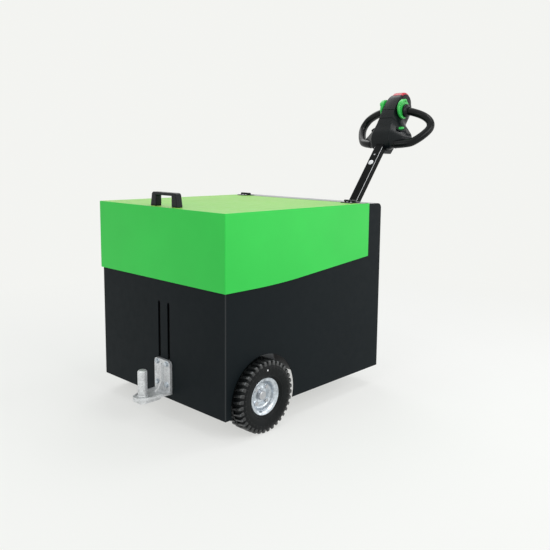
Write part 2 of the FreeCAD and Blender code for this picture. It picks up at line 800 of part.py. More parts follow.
def drive_gearbox():
    """Gear case outside the yoke's left leg."""
    y0 = drive_wheel_width / 2 + yoke_wheel_gap + yoke_leg
    y1 = y0 + gearbox_depth
    half = yoke_leg_width / 2 - gearbox_inset
    case = box(steer_x - half, steer_x + half, y0, y1, drive_wheel_radius, crown_bottom)
    case = case.fuse(along_y(half, steer_x, y0, y1, drive_wheel_radius)).removeSplitter()
    socket = y0 + axle_end + axial_gap
    return case.cut(along_y(drive_axle_radius + running_gap, steer_x, y0 - 1, socket, drive_wheel_radius))


def turntable():
    """Round plate over the mounting plate, with two upright ears for the tiller's pivot."""
    z0 = mount_plate_bottom + mount_plate + seat_gap
    plate = upright(crown_radius, steer_x, 0, z0, z0 + turntable_height)
    z0 = z0 + turntable_height
    x0 = steer_x + ear_back
    inner = ear_gap / 2
    outer = inner + ear_sheet
    x1 = steer_x + math.sqrt(crown_radius ** 2 - outer ** 2) - ear_edge
    corner = ear_round * math.sqrt(0.5)
    top = z0 + ear_back_height
    outline = [
        (x0, z0), (x1, z0), (pivot_x + corner, tiller_pivot_z - corner), (pivot_x, tiller_pivot_z),
        (pivot_x - corner, tiller_pivot_z + corner), (x0, top),
    ]
    plate = plate.fuse(box(x0, x0 + ear_web, -inner, inner, z0, top))
    for side in (-1, 1):
        y0, y1 = sorted((side * inner, side * outer))
        plate = plate.fuse(side_profile(outline, y0, y1))
        plate = plate.fuse(along_y(ear_round, pivot_x, y0, y1, tiller_pivot_z))
    bore = along_y(pivot_pin_radius + running_gap, pivot_x, -outer - 1, outer + 1, tiller_pivot_z)
    return plate.cut(bore).removeSplitter()


def drive_motor():
    z0 = mount_plate_bottom + mount_plate + seat_gap + turntable_height
    return upright(motor_radius, steer_x, 0, z0, z0 + motor_height)


def pivot_pin():
    half = ear_gap / 2 + ear_sheet + pivot_pin_end
    return along_y(pivot_pin_radius, pivot_x, -half, half, tiller_pivot_z)


def drive_tyre():
    half = drive_wheel_width / 2
    return turned([
        (drive_hub_radius, half), (drive_wheel_radius, half),
        (drive_wheel_radius, -half), (drive_hub_radius, -half),
    ], steer_x, drive_wheel_radius)


def drive_hub():
    half = drive_wheel_width / 2
    inner = half + yoke_wheel_gap - axial_gap
    face = half - hub_face_inset
    hub_piece = along_y(drive_hub_radius, steer_x, -face, face, drive_wheel_radius)
    hub_piece = hub_piece.fuse(along_y(hub_boss_radius, steer_x, -inner, inner, drive_wheel_radius))
    bore = along_y(drive_axle_radius + running_gap, steer_x, -inner - 1, inner + 1, drive_wheel_radius)
    return hub_piece.cut(bore).removeSplitter()


# ---------------------------------------------------------------- tiller
# Modelled upright at its pivot: z along the arm, -x towards the arm's top face; then tilted in place.
def tilted(shape):
    placed = shape.copy()
    placed.rotate(v(0, 0, 0), v(0, 1, 0), tiller_tilt)
    placed.translate(v(pivot_x, 0, tiller_pivot_z))
    return placed


def tiller_arm():
    """Rectangular tube on a pivot sleeve."""
    a = arm_thickness / 2
    b = arm_width / 2
    tube = box(-a, a, -b, b, 0, arm_length)
    tube = fillet(tube, arm_corner, lambda e: is_along(e, v(0, 0, 1)))
    inner_a = a - arm_wall
    inner_b = b - arm_wall
    hollow = box(-inner_a, inner_a, -inner_b, inner_b, pivot_sleeve_radius, arm_length + 1)
    tube = tube.cut(hollow)
    half = ear_gap / 2 - pivot_side_gap
    tube = tube.fuse(along_y(pivot_sleeve_radius, 0, -half, half, 0))
    bore = along_y(pivot_pin_radius + running_gap, 0, -half - 1, half + 1, 0)
    return tilted(tube.cut(bore).removeSplitter())


# The head is modelled from the arm's end, along the same axes, and then put on the arm.
def on_arm(shape):
    placed = shape.copy()
    placed.translate(v(0, 0, arm_length))
    return tilted(placed)


def arm_point(along, rise, y):
    return v(-rise, y, along)


def head_ring(section):
    """Eight corners of a head section, round from the right-hand top edge."""
    along = section[0]
    right = [arm_point(along, rise, -half) for half, rise in section[1:]]
    left = [arm_point(along, rise, half) for half, rise in reversed(section[1:])]
    return right + left


def head_solid():
    """Head housing of flat facets, with a collar on each side for the handle's upper bar."""
    rings = [head_ring(section) for section in head_sections]
    count = len(rings[0])
    faces = [polygon(rings[0]), polygon(rings[-1])]
    for low, high in zip(rings, rings[1:]):
        for i in range(count):
            j = (i + 1) % count
            if i == count / 2 - 1 or i == count - 1:
                faces.append(polygon([low[i], low[j], high[j], high[i]]))
            elif i < count / 2:
                faces.append(polygon([low[i], low[j], high[j]]))
                faces.append(polygon([low[i], high[j], high[i]]))
            else:
                faces.append(polygon([low[i], low[j], high[i]]))
                faces.append(polygon([low[j], high[j], high[i]]))
    collars = along_y(collar_radius, -collar_rise, -collar_reach, collar_reach, collar_at)
    return closed_solid(faces).fuse(collars)


def head_housing():
    a = arm_thickness / 2
    b = arm_width / 2
    socket = box(-a, a, -b, b, head_sections[0][0] - 1, 0)
    return on_arm(head_solid().cut(socket))


def loop_solid():
    """Tube of the handle, a closed ring whose sides droop."""
    half = [arm_point(along, rise, y) for y, along, rise in loop_path]
    rest = [arm_point(along, rise, -y) for y, along, rise in reversed(loop_path[1:-1])]
    curve = Part.BSplineCurve()
    curve.interpolate(Points=half + rest, PeriodicFlag=True)
    section = Part.Wire(Part.Circle(half[0], v(0, 1, 0), loop_tube_radius).toShape())
    return Part.Wire(curve.toShape()).makePipeShell([section], True, False)


def handle_loop():
    """Left-hand side of the handle, from the head housing outwards."""
    far = arm_length
    keep = box(-far, far, 0, far, -far, far)
    return on_arm(loop_solid().common(keep).cut(head_solid()))


def thumb_wheel():
    """Right-hand round thumb control on the collar, with a raised wing on its top side."""
    x = -thumb_wheel_rise
    z = thumb_wheel_at
    inner = thumb_wheel_inner
    outer = inner + thumb_wheel_width

    def disc(radius, near, far):
        return along_y(radius, x, -far, -near, z)

    wheel = fillet(disc(thumb_wheel_radius, inner, outer), thumb_wheel_edge, lambda e: (
        not isinstance(e.Curve, Part.Line) and abs(e.CenterOfMass.y) > outer - 1))
    wing = disc(thumb_wing_radius, inner, thumb_wing_reach)
    wing = wing.cut(disc(thumb_wing_hollow, inner - 1, thumb_wing_reach + 1))
    far = 2 * thumb_wing_radius
    middle = (thumb_wing_start + thumb_wing_end) / 2
    turns = [math.radians(t) for t in (thumb_wing_start, middle, thumb_wing_end)]
    corners = [(x, z)] + [(x - far * math.sin(t), z + far * math.cos(t)) for t in turns]
    wing = wing.common(side_profile(corners, -far, far))
    bore = along_y(collar_radius + seat_gap, -collar_rise, -far, far, collar_at)
    return on_arm(wheel.fuse(wing).cut(bore).cut(head_solid()).removeSplitter())


def side_button():
    """Right-hand oval button on the sloping cheek."""
    low, high = [head_ring(section) for section in head_sections[4:6]]
    slope = (low[1] - low[0]).cross(high[1] - low[0])
    slope.normalize()
    if slope.y > 0:
        slope = slope * -1
    here = arm_point(side_button_at, side_button_rise, 0)
    y = low[0].y - ((here.x - low[0].x) * slope.x + (here.z - low[0].z) * slope.z) / slope.y
    radius = side_button_width / 2
    run = side_button_length / 2 - radius
    pad = box(-run, run, -radius, radius, -side_button_depth, side_button_depth)
    for end in (-run, run):
        pad = pad.fuse(upright(radius, end, 0, -side_button_depth, side_button_depth))
    pad = pad.removeSplitter()
    turn = math.radians(side_button_turn)
    lie = FreeCAD.Rotation(v(math.sin(turn), 0, math.cos(turn)), v(0, 1, 0), slope, "ZXY")
    pad.Placement = FreeCAD.Placement(v(here.x, y, here.z), lie)
    return on_arm(pad.cut(head_solid()))


def belly_button():
    """Red cap over the head's end."""
    places = (cap_top, cap_crown, cap_belly)
    top, crown, belly = [arm_point(along, rise, -cap_half_width) for along, rise in places]
    outline = face_of([Part.Arc(top, crown, belly).toShape(), Part.LineSegment(belly, top).toShape()])
    cap = outline.extrude(v(0, 2 * cap_half_width, 0))
    cap = fillet(cap, cap_edge, lambda e: not isinstance(e.Curve, Part.Line))
    return on_arm(cap.cut(head_solid()))


def head_bracket():
    """Wedge under the arm where it enters the head."""
    half = bracket_half_width
    wedge = side_profile([(-rise, along) for along, rise in bracket_profile], -half, half)
    return on_arm(wedge.cut(head_solid()))


# ---------------------------------------------------------------- the assembly
for name, make in (("right", lambda s: s), ("left", mirrored)):
    pieces["side_panel_" + name] = make(side_panel())
    pieces["tyre_" + name] = make(tyre())
    pieces["rim_" + name] = make(rim())
    pieces["hub_" + name] = make(hub())
pieces["hitch_panel"] = hitch_panel()
pieces["tiller_panel"] = tiller_panel()
pieces["console"] = console()
pieces["hood_seal"] = hood_seal()
pieces["hinge_rail"] = hinge_rail()
pieces["rails"] = both(rail())
pieces["deck"] = deck()
pieces["battery"] = battery()
pieces["axle"] = axle()
pieces["drive_bay"] = drive_bay()
pieces["mount_plate"] = mount_plate_piece()
pieces["steer_bearing"] = steer_bearing()
pieces["hitch_bracket"] = hitch_bracket()
pieces["tow_pin"] = tow_pin()
pieces["hitch_bolts"] = hitch_bolts()
pieces["hood"] = hood()
pieces["hood_handle"] = hood_handle()
pieces["hinge_fixed"] = both(hinge_leaf_piece(-hinge_offset_y, True))
pieces["hinge_moving"] = both(hinge_leaf_piece(-hinge_offset_y, False))
pieces["yoke"] = yoke()
pieces["drive_axle"] = drive_axle()
pieces["drive_gearbox"] = drive_gearbox()
pieces["turntable"] = turntable()
pieces["drive_motor"] = drive_motor()
pieces["pivot_pin"] = pivot_pin()
pieces["drive_tyre"] = drive_tyre()
pieces["drive_hub"] = drive_hub()
pieces["tiller_arm"] = tiller_arm()
pieces["head_housing"] = head_housing()
pieces["head_bracket"] = head_bracket()
pieces["handle_loop_left"] = handle_loop()
pieces["handle_loop_right"] = mirrored(pieces["handle_loop_left"])
pieces["thumb_wheel_right"] = thumb_wheel()
pieces["thumb_wheel_left"] = mirrored(pieces["thumb_wheel_right"])
pieces["side_buttons"] = both(side_button())
pieces["belly_button"] = belly_button()

# the origin is the middle of the machine's box, on the floor
boxes = [shape.optimalBoundingBox() for shape in pieces.values()]
origin_x = (min(b.XMin for b in boxes) + max(b.XMax for b in boxes)) / 2

for name, shape in pieces.items():
    placed = shape.copy()
    placed.translate(v(-origin_x, 0, 0))
    placed.exportStep("parts/" + name + ".step")

print("pieces", len(pieces), "origin at x =", round(origin_x, 3))
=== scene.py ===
import json
import math

import bmesh
import bpy
from mathutils import Matrix, Vector

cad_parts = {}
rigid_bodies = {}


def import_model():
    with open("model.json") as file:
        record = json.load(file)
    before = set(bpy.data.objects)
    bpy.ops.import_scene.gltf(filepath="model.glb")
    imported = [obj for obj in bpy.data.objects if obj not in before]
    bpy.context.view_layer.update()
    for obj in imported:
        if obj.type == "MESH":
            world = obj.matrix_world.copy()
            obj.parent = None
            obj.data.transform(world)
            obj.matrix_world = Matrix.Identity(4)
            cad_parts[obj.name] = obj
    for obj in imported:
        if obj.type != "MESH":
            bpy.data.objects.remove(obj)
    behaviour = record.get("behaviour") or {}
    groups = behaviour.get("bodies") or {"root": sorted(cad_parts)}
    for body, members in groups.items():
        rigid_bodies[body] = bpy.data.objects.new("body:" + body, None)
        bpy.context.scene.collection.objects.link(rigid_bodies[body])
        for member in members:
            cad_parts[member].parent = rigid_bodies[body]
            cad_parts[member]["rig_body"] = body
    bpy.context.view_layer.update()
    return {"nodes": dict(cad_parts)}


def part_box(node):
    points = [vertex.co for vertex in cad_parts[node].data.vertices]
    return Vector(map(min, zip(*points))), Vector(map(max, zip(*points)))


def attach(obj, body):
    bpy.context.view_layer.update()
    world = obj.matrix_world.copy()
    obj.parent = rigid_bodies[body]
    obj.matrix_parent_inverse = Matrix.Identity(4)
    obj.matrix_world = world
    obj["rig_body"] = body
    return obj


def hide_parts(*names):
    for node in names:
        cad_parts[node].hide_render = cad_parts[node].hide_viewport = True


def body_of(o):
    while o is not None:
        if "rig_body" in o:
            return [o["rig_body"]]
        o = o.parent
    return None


# Electric tow tug.  Metres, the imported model's frame: +X towards the tiller, +Y left, +Z up.
# Sizes of dressed pieces are written in millimetres and placed by at() or on_arm().

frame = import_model()
MM = 0.001
HOOD_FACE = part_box("hood")[0].x


def body(node):
    """Name of the body that a CAD node rides on."""
    return body_of(frame["nodes"][node])[0]


def at(x, y, z):
    """Place from millimetres: x from the hood's hitch face, y to the left, z up."""
    return Vector((HOOD_FACE + x * MM, y * MM, z * MM))


# ---------------------------------------------------------------- camera
CAMERA_PLACE = at(-1351.15, -1901.64, 945.08)
CAMERA_AZIMUTH = 0.734         # about +Z from +X
CAMERA_PITCH = 0.1289          # downwards
CAMERA_ROLL = -0.0143
FOCAL_PIXELS = 654.2
FRAME_PIXELS = 550
SHIFT_X = -0.0464
SHIFT_Y = -0.0627


def make_camera():
    cos_pitch = math.cos(CAMERA_PITCH)
    ahead = Vector((
        math.cos(CAMERA_AZIMUTH) * cos_pitch, math.sin(CAMERA_AZIMUTH) * cos_pitch, -math.sin(CAMERA_PITCH),
    ))
    level = ahead.cross(Vector((0, 0, 1))).normalized()
    down = ahead.cross(level)
    right = math.cos(CAMERA_ROLL) * level + math.sin(CAMERA_ROLL) * down
    up = -(math.cos(CAMERA_ROLL) * down - math.sin(CAMERA_ROLL) * level)
    data = bpy.data.cameras.new("camera")
    data.sensor_width = 36.0
    data.lens = FOCAL_PIXELS * data.sensor_width / FRAME_PIXELS
    data.shift_x = SHIFT_X
    data.shift_y = SHIFT_Y
    camera = bpy.data.objects.new("camera", data)
    axes = Matrix((right, up, -ahead)).transposed().to_4x4()
    camera.matrix_world = Matrix.Translation(CAMERA_PLACE) @ axes
    bpy.context.scene.collection.objects.link(camera)
    bpy.context.scene.camera = camera


# ---------------------------------------------------------------- stage
BACKGROUND = (0.9, 0.905, 0.88)
# the floor is darkened under the body's left half, so that it doesn't shine through the right arch
SHADE_AHEAD = 0.095            # the shade's middle, towards the tiller from the side panel's
SHADE_LEFT = 0.2               # and left of the machine's middle
SHADE_HALF_LENGTH = 0.37
SHADE_HALF_WIDTH = 0.16
SHADE_EDGE = 0.045             # width over which it fades out
LAMP_TARGET = (0, 0, 0.4)
LAMPS = (
    # name, place, target, size, power
    ("key", (-0.2, -3.4, 2.4), LAMP_TARGET, 2.2, 52),
    ("front", (-3.8, -0.4, 2.0), LAMP_TARGET, 2.2, 22),
    ("top", (-0.4, 0.2, 3.8), LAMP_TARGET, 2.6, 8),
    ("right", (2.4, -2.6, 0.9), LAMP_TARGET, 2.2, 20),
    ("back", (1.6, 2.4, 3.4), (0, 0, 0.5), 2.2, 30),
    ("above", (0.9, -0.8, 3.4), (0.6, 0, 1.1), 0.8, 13),
)


def make_stage():
    """Pale floor with a shade under the body, fading into the background colour away from it."""
    size = 30.0
    floor_mesh = bpy.data.meshes.new("floor")
    floor_mesh.from_pydata(
        [(-size, -size, 0), (size, -size, 0), (size, size, 0), (-size, size, 0)], [], [(0, 1, 2, 3)],
    )
    floor = bpy.data.objects.new("floor", floor_mesh)
    bpy.context.scene.collection.objects.link(floor)
    look = Finish("floor", roughness=0.75, specular=0.2)
    plain = look.add("Emission")
    plain.inputs["Color"].default_value = (*BACKGROUND, 1)
    length = look.add("VectorMath", operation="LENGTH")
    look.links.new(look.place, length.inputs[0])
    away = look.ranged(length.outputs["Value"], 0.9, 2.6, 0.62, 1.0)
    low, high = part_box("side_panel_left")
    middle = (low + high) / 2
    parts = look.add("SeparateXYZ")
    look.links.new(look.place, parts.inputs[0])
    beside = []
    for axis, centre, half in (
        (0, middle.x + SHADE_AHEAD, SHADE_HALF_LENGTH), (1, SHADE_LEFT, SHADE_HALF_WIDTH),
    ):
        offset = look.maths("ABSOLUTE", look.maths("SUBTRACT", parts.outputs[axis], centre))
        beside.append(look.maths("SUBTRACT", offset, half))
    open_floor = look.ranged(look.maths("MAXIMUM", *beside), -SHADE_EDGE, 0.0)
    bare = look.mixed(look.noise(3.0), (0.92, 0.925, 0.91), (0.95, 0.955, 0.94))
    look.colour(look.mixed(open_floor, (0.08, 0.085, 0.09), bare))
    fade = look.add("MixShader")
    look.links.new(look.maths("MULTIPLY", away, open_floor), fade.inputs["Fac"])
    look.links.new(look.shader.outputs[0], fade.inputs[1])
    look.links.new(plain.outputs[0], fade.inputs[2])
    look.links.new(fade.outputs[0], look.nodes["Material Output"].inputs["Surface"])
    floor_mesh.materials.append(look.material)


def make_light(name, place, target, size, power):
    data = bpy.data.lights.new(name, "AREA")
    data.shape = "SQUARE"
    data.size = size
    data.energy = power
    light = bpy.data.objects.new(name, data)
    light.location = place
    light.rotation_mode = "QUATERNION"
    light.rotation_quaternion = (Vector(target) - Vector(place)).to_track_quat("-Z", "Y")
    bpy.context.scene.collection.objects.link(light)


def make_world():
    world = bpy.data.worlds.new("world")
    bpy.context.scene.world = world
    world.use_nodes = True
    nodes = world.node_tree.nodes
    links = world.node_tree.links
    background = nodes["Background"]
    background.inputs["Color"].default_value = (0.95, 0.97, 1.0, 1)
    background.inputs["Strength"].default_value = 0.6
    seen = nodes.new("ShaderNodeBackground")
    seen.inputs["Color"].default_value = (*BACKGROUND, 1)
    path = nodes.new("ShaderNodeLightPath")
    direct = nodes.new("ShaderNodeMath")
    direct.operation = "MAXIMUM"
    mix = nodes.new("ShaderNodeMixShader")
    links.new(path.outputs["Is Camera Ray"], direct.inputs[0])
    links.new(path.outputs["Is Glossy Ray"], direct.inputs[1])
    links.new(direct.outputs[0], mix.inputs["Fac"])
    links.new(background.outputs[0], mix.inputs[1])
    links.new(seen.outputs[0], mix.inputs[2])
    links.new(mix.outputs[0], nodes["World Output"].inputs["Surface"])


# ---------------------------------------------------------------- materials
class Finish:
    """One procedural material, its textures in the object's own metres."""

    def __init__(self, name, roughness=0.5, metallic=0.0, specular=0.5):
        self.material = bpy.data.materials.new(name)
        self.material.use_nodes = True
        self.nodes = self.material.node_tree.nodes
        self.links = self.material.node_tree.links
        self.shader = self.nodes["Principled BSDF"]
        self.shader.inputs["Roughness"].default_value = roughness
        self.shader.inputs["Metallic"].default_value = metallic
        self.shader.inputs["Specular IOR Level"].default_value = specular
        self.place = self.add("TexCoord").outputs["Object"]
        self.normal = None

    def add(self, kind, **settings):
        made = self.nodes.new("ShaderNode" + kind)
        for key, value in settings.items():
            setattr(made, key, value)
        return made

    def put(self, socket, value):
        if isinstance(value, bpy.types.NodeSocket):
            self.links.new(value, socket)
        elif isinstance(value, tuple) and len(value) == 3:
            socket.default_value = (*value, 1)
        else:
            socket.default_value = value

    def colour(self, value):
        self.put(self.shader.inputs["Base Color"], value)

    def rough(self, value):
        self.put(self.shader.inputs["Roughness"], value)

    def noise(self, scale, detail=3.0, stretch=(1, 1, 1)):
        mapping = self.add("Mapping")
        self.put(mapping.inputs["Vector"], self.place)
        mapping.inputs["Scale"].default_value = stretch
        made = self.add("TexNoise")
        self.put(made.inputs["Vector"], mapping.outputs[0])
        self.put(made.inputs["Scale"], scale)
        self.put(made.inputs["Detail"], detail)
        return made.outputs["Fac"]

    def cells(self, scale):
        """One value from 0 to 1 for each cell."""
        made = self.add("TexVoronoi")
        self.put(made.inputs["Vector"], self.place)
        self.put(made.inputs["Scale"], scale)
        parts = self.add("SeparateColor")
        self.put(parts.inputs[0], made.outputs["Color"])
        return parts.outputs[0]

    def maths(self, operation, first, second=0.0):
        made = self.add("Math", operation=operation)
        self.put(made.inputs[0], first)
        self.put(made.inputs[1], second)
        return made.outputs[0]

    def ranged(self, value, low, high, start=0.0, end=1.0):
        made = self.add("MapRange")
        for key, number in (("From Min", low), ("From Max", high), ("To Min", start), ("To Max", end)):
            made.inputs[key].default_value = number
        self.put(made.inputs["Value"], value)
        return made.outputs["Result"]

    def mixed(self, amount, first, second):
        made = self.add("Mix", data_type="RGBA")
        self.put(made.inputs[0], amount)
        self.put(made.inputs[6], first)
        self.put(made.inputs[7], second)
        return made.outputs[2]

    def bump(self, height, depth):
        made = self.add("Bump")
        made.inputs["Distance"].default_value = depth
        self.put(made.inputs["Height"], height)
        if self.normal:
            self.put(made.inputs["Normal"], self.normal)
        self.normal = made.outputs[0]
        self.put(self.shader.inputs["Normal"], self.normal)


def shade(colour, factor):
    return tuple(channel * factor for channel in colour)


def powder_coat(name, colour, roughness, specular, grain, haze=None, haze_weight=0.5):
    """Baked powder paint: slight cloudiness, a fine orange-peel skin and a haze seen at low angles."""
    look = Finish(name, specular=specular)
    if haze:
        look.shader.inputs["Sheen Weight"].default_value = haze_weight
        look.shader.inputs["Sheen Roughness"].default_value = 0.26
        look.shader.inputs["Sheen Tint"].default_value = (*haze, 1)
    cloud = look.ranged(look.noise(5.0, 4.0), 0.3, 0.7)
    look.colour(look.mixed(cloud, shade(colour, 0.96), shade(colour, 1.04)))
    look.rough(look.ranged(look.noise(40.0), 0.3, 0.7, roughness - 0.04, roughness + 0.04))
    look.bump(look.noise(grain, 2.0), 0.00006)
    return look.material


def moulding(name, colour, roughness, specular, grain, depth):
    """Moulded plastic or rubber with a spark-eroded grain."""
    look = Finish(name, specular=specular)
    cloud = look.ranged(look.noise(25.0, 3.0), 0.3, 0.7)
    look.colour(look.mixed(cloud, shade(colour, 0.9), shade(colour, 1.1)))
    look.rough(look.ranged(look.noise(120.0), 0.3, 0.7, roughness - 0.06, roughness + 0.06))
    look.bump(look.noise(grain, 2.0), depth)
    return look.material


def tyre_rubber(name, colour, roughness, specular):
    """Vulcanised rubber: a bloom of greyer patches, mould grain and fine scuff marks."""
    look = Finish(name, specular=specular)
    bloom = look.ranged(look.noise(30.0, 5.0), 0.45, 0.75)
    look.colour(look.mixed(bloom, colour, shade(colour, 1.6)))
    look.rough(look.ranged(look.noise(90.0), 0.3, 0.7, roughness - 0.08, roughness + 0.08))
    look.bump(look.noise(450.0, 3.0), 0.00012)
    look.bump(look.noise(60.0, 4.0), 0.0002)
    return look.material


def plated(name, colour, roughness, mottle, depth):
    """Zinc plating: cloudy brightness and soft-edged stains."""
    look = Finish(name, metallic=1.0)
    cloud = look.ranged(look.noise(mottle, 5.0), 0.35, 0.65)
    stain = look.ranged(look.noise(mottle * 3, 2.0), 0.5, 0.62)
    base = look.mixed(cloud, shade(colour, 0.72), shade(colour, 1.12))
    look.colour(look.mixed(look.ranged(stain, 0, 1, 0, 0.35), base, shade(colour, 0.5)))
    look.rough(look.ranged(cloud, 0, 1, roughness + 0.1, roughness - 0.06))
    look.bump(look.noise(mottle * 8, 2.0), depth)
    return look.material


def hot_dipped(name, colour, roughness):
    """Hot-dip zinc on a casting: spangle, dull patches and a pitted skin."""
    look = Finish(name, metallic=0.55, specular=0.5)
    spangle = look.ranged(look.cells(260.0), 0, 1)
    base = look.mixed(spangle, shade(colour, 0.82), shade(colour, 1.12))
    dull = look.ranged(look.noise(45.0, 5.0), 0.42, 0.68)
    look.colour(look.mixed(look.ranged(dull, 0, 1, 0, 0.6), base, shade(colour, 0.62)))
    look.rough(look.ranged(look.noise(140.0), 0.3, 0.7, roughness - 0.1, roughness + 0.12))
    look.bump(look.noise(420.0, 4.0), 0.00035)
    look.bump(look.noise(90.0, 2.0), 0.0006)
    return look.material


def machined(name, colour, roughness, stretch=(1, 1, 12)):
    """Turned or drawn steel with fine lines across it."""
    look = Finish(name, metallic=1.0)
    line = look.noise(160.0, 3.0, stretch)
    look.colour(look.mixed(line, shade(colour, 0.8), shade(colour, 1.1)))
    look.rough(look.ranged(line, 0.3, 0.7, roughness - 0.06, roughness + 0.08))
    look.bump(line, 0.00004)
    return look.material


def cast_metal(name, colour, roughness, metallic):
    """Sand-cast metal, matt and slightly lumpy."""
    look = Finish(name, metallic=metallic, specular=0.4)
    cloud = look.ranged(look.noise(20.0, 4.0), 0.3, 0.7)
    look.colour(look.mixed(cloud, shade(colour, 0.85), shade(colour, 1.1)))
    look.rough(look.ranged(look.noise(80.0), 0.3, 0.7, roughness - 0.08, roughness + 0.08))
    look.bump(look.noise(300.0, 3.0), 0.0003)
    return look.material


LOOKS = {
    "hood_paint": powder_coat("hood_paint", (0.033, 0.545, 0.072), 0.36, 0.16, 900.0, (1.0, 0.85, 0.25)),
    "body_paint": powder_coat("body_paint", (0.0048, 0.0080, 0.0098), 0.5, 0.08, 700.0),
    "tyre_rubber": tyre_rubber("tyre_rubber", (0.0026, 0.0036, 0.0040), 0.5, 0.16),
    "drive_tread": tyre_rubber("drive_tread", (0.035, 0.035, 0.037), 0.65, 0.35),
    "zinc": plated("zinc", (0.62, 0.67, 0.72), 0.34, 60.0, 0.00008),
    "galvanised": hot_dipped("galvanised", (0.72, 0.735, 0.745), 0.46),
    "seal_rubber": moulding("seal_rubber", (0.006, 0.006, 0.0065), 0.8, 0.2, 600.0, 0.0002),
    "black_plastic": moulding("black_plastic", (0.0044, 0.0064, 0.0076), 0.3, 0.2, 1100.0, 0.00006),
    "grip": moulding("grip", (0.0036, 0.0044, 0.0050), 0.24, 0.18, 1500.0, 0.00004),
    "green_plastic": moulding("green_plastic", (0.028, 0.47, 0.07), 0.3, 0.5, 900.0, 0.00004),
    "red_plastic": moulding("red_plastic", (0.50, 0.012, 0.035), 0.26, 0.5, 900.0, 0.00003),
    "cast_case": cast_metal("cast_case", (0.305, 0.314, 0.323), 0.5, 0.8),
    "motor_paint": powder_coat("motor_paint", (0.025, 0.027, 0.03), 0.4, 0.4, 500.0),
    "unit_steel": cast_metal("unit_steel", (0.061, 0.067, 0.072), 0.5, 0.0),
}
TREAD = tyre_rubber("tread_blocks", (0.0080, 0.0094, 0.0100), 0.34, 0.6)
# pale lines on the tread blocks' outer edges: a painted highlight
LUG_HIGHLIGHT = tyre_rubber("painted_lug_highlight", (0.07, 0.075, 0.08), 0.5, 0.5)
SMOOTH_BLACK = powder_coat("arm_paint", (0.0030, 0.0038, 0.0042), 0.34, 0.05, 800.0)
# pale strips along the arm's top edges: a painted highlight
PAINTED_EDGE_HIGHLIGHT = powder_coat("painted_edge_highlight", (0.6, 0.61, 0.62), 0.35, 0.5, 800.0)
# lighter strips on the hitch panel's upright corners: a painted highlight
PAINTED_CORNER_HIGHLIGHT = powder_coat("painted_corner_highlight", (0.038, 0.042, 0.044), 0.4, 0.22, 700.0)
HAZED_BLACK = powder_coat("hazed_body_paint", (0.0048, 0.0080, 0.0098), 0.5, 0.08, 700.0, (1, 1, 1), 1.0)
STEEL = machined("machined_steel", (0.52, 0.53, 0.55), 0.34)
LABEL = moulding("bare_label", (0.78, 0.79, 0.8), 0.3, 0.5, 700.0, 0.00002)
CELL_LID = moulding("cell_lid", (0.035, 0.037, 0.04), 0.45, 0.4, 800.0, 0.00008)
LEAD = cast_metal("lead_post", (0.32, 0.33, 0.35), 0.5, 0.9)


# ---------------------------------------------------------------- mesh helpers
def piece(name, mesh, rides_on, material, nodes=()):
    """A finished mesh as a piece on a body, standing for the CAD nodes it names."""
    mesh.materials.clear()
    mesh.materials.append(material)
    made = bpy.data.objects.new(name, mesh)
    bpy.context.scene.collection.objects.link(made)
    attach(made, rides_on)
    if nodes:
        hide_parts(*nodes)
    return made


def mesh_of(name, bm, sharp=35.0):
    """Closes a bmesh into a smooth-shaded mesh with sharp edges above an angle."""
    bmesh.ops.remove_doubles(bm, verts=bm.verts, dist=1e-6)
    bmesh.ops.recalc_face_normals(bm, faces=bm.faces)
    mesh = bpy.data.meshes.new(name)
    bm.to_mesh(mesh)
    bm.free()
    mesh.shade_smooth()
    mesh.set_sharp_from_angle(angle=math.radians(sharp))
    return mesh


def skin(bm, rings, wrap=False, closed=True, cap=True):
    """Surface through rings of points; wrap joins the last ring to the first."""
    loops = [[bm.verts.new(point) for point in ring] for ring in rings]
    count = len(loops[0])
    pairs = list(zip(loops, loops[1:]))
    if wrap:
        pairs.append((loops[-1], loops[0]))
    for first, second in pairs:
        for i in range(count if closed else count - 1):
            j = (i + 1) % count
            bm.faces.new((first[i], first[j], second[j], second[i]))
    if cap and closed and not wrap:
        bm.faces.new(list(reversed(loops[0])))
        bm.faces.new(loops[-1])


def lathe(bm, profile, centre, axis, start, steps=96, closed=False):
    """Turns (radius, height) millimetres about an axis; start is the direction of angle zero."""
    across = axis.cross(start)
    rings = []
    for k in range(steps):
        angle = 2 * math.pi * k / steps
        out = start * math.cos(angle) + across * math.sin(angle)
        rings.append([centre + out * (radius * MM) + axis * (height * MM) for radius, height in profile])
    skin(bm, rings, wrap=True, closed=closed)


def hexagon_head(bm, centre, axis, start, across_flats, height):
    """Hexagon head with a chamfered crown."""
    corner = across_flats / 2 / math.cos(math.pi / 6)
    side = axis.cross(start)
    rings = []
    for radius, rise in ((corner, 0), (corner, height - 1.2), (corner - 1.4, height)):
        ring = []
        for k in range(6):
            angle = math.pi * k / 3
            out = start * math.cos(angle) + side * math.sin(angle)
            ring.append(centre + out * (radius * MM) + axis * (rise * MM))
        rings.append(ring)
    skin(bm, rings)


def socket_screw(bm, centre, axis, start, radius, height):
    """Low button head with a round socket."""
    lathe(bm, [
        (radius, 0), (radius, height * 0.35), (radius * 0.82, height * 0.8), (radius * 0.5, height),
        (radius * 0.45, height), (radius * 0.42, height * 0.3), (0, height * 0.3),
    ], centre, axis, start, 20)


def cleaned(node):
    """Copy of a CAD node's surface with its flat faces made whole."""
    bm = bmesh.new()
    bm.from_mesh(frame["nodes"][node].data)
    bmesh.ops.remove_doubles(bm, verts=bm.verts, dist=2e-5)
    bmesh.ops.dissolve_limit(bm, angle_limit=math.radians(0.5), verts=bm.verts, edges=bm.edges)
    return bm


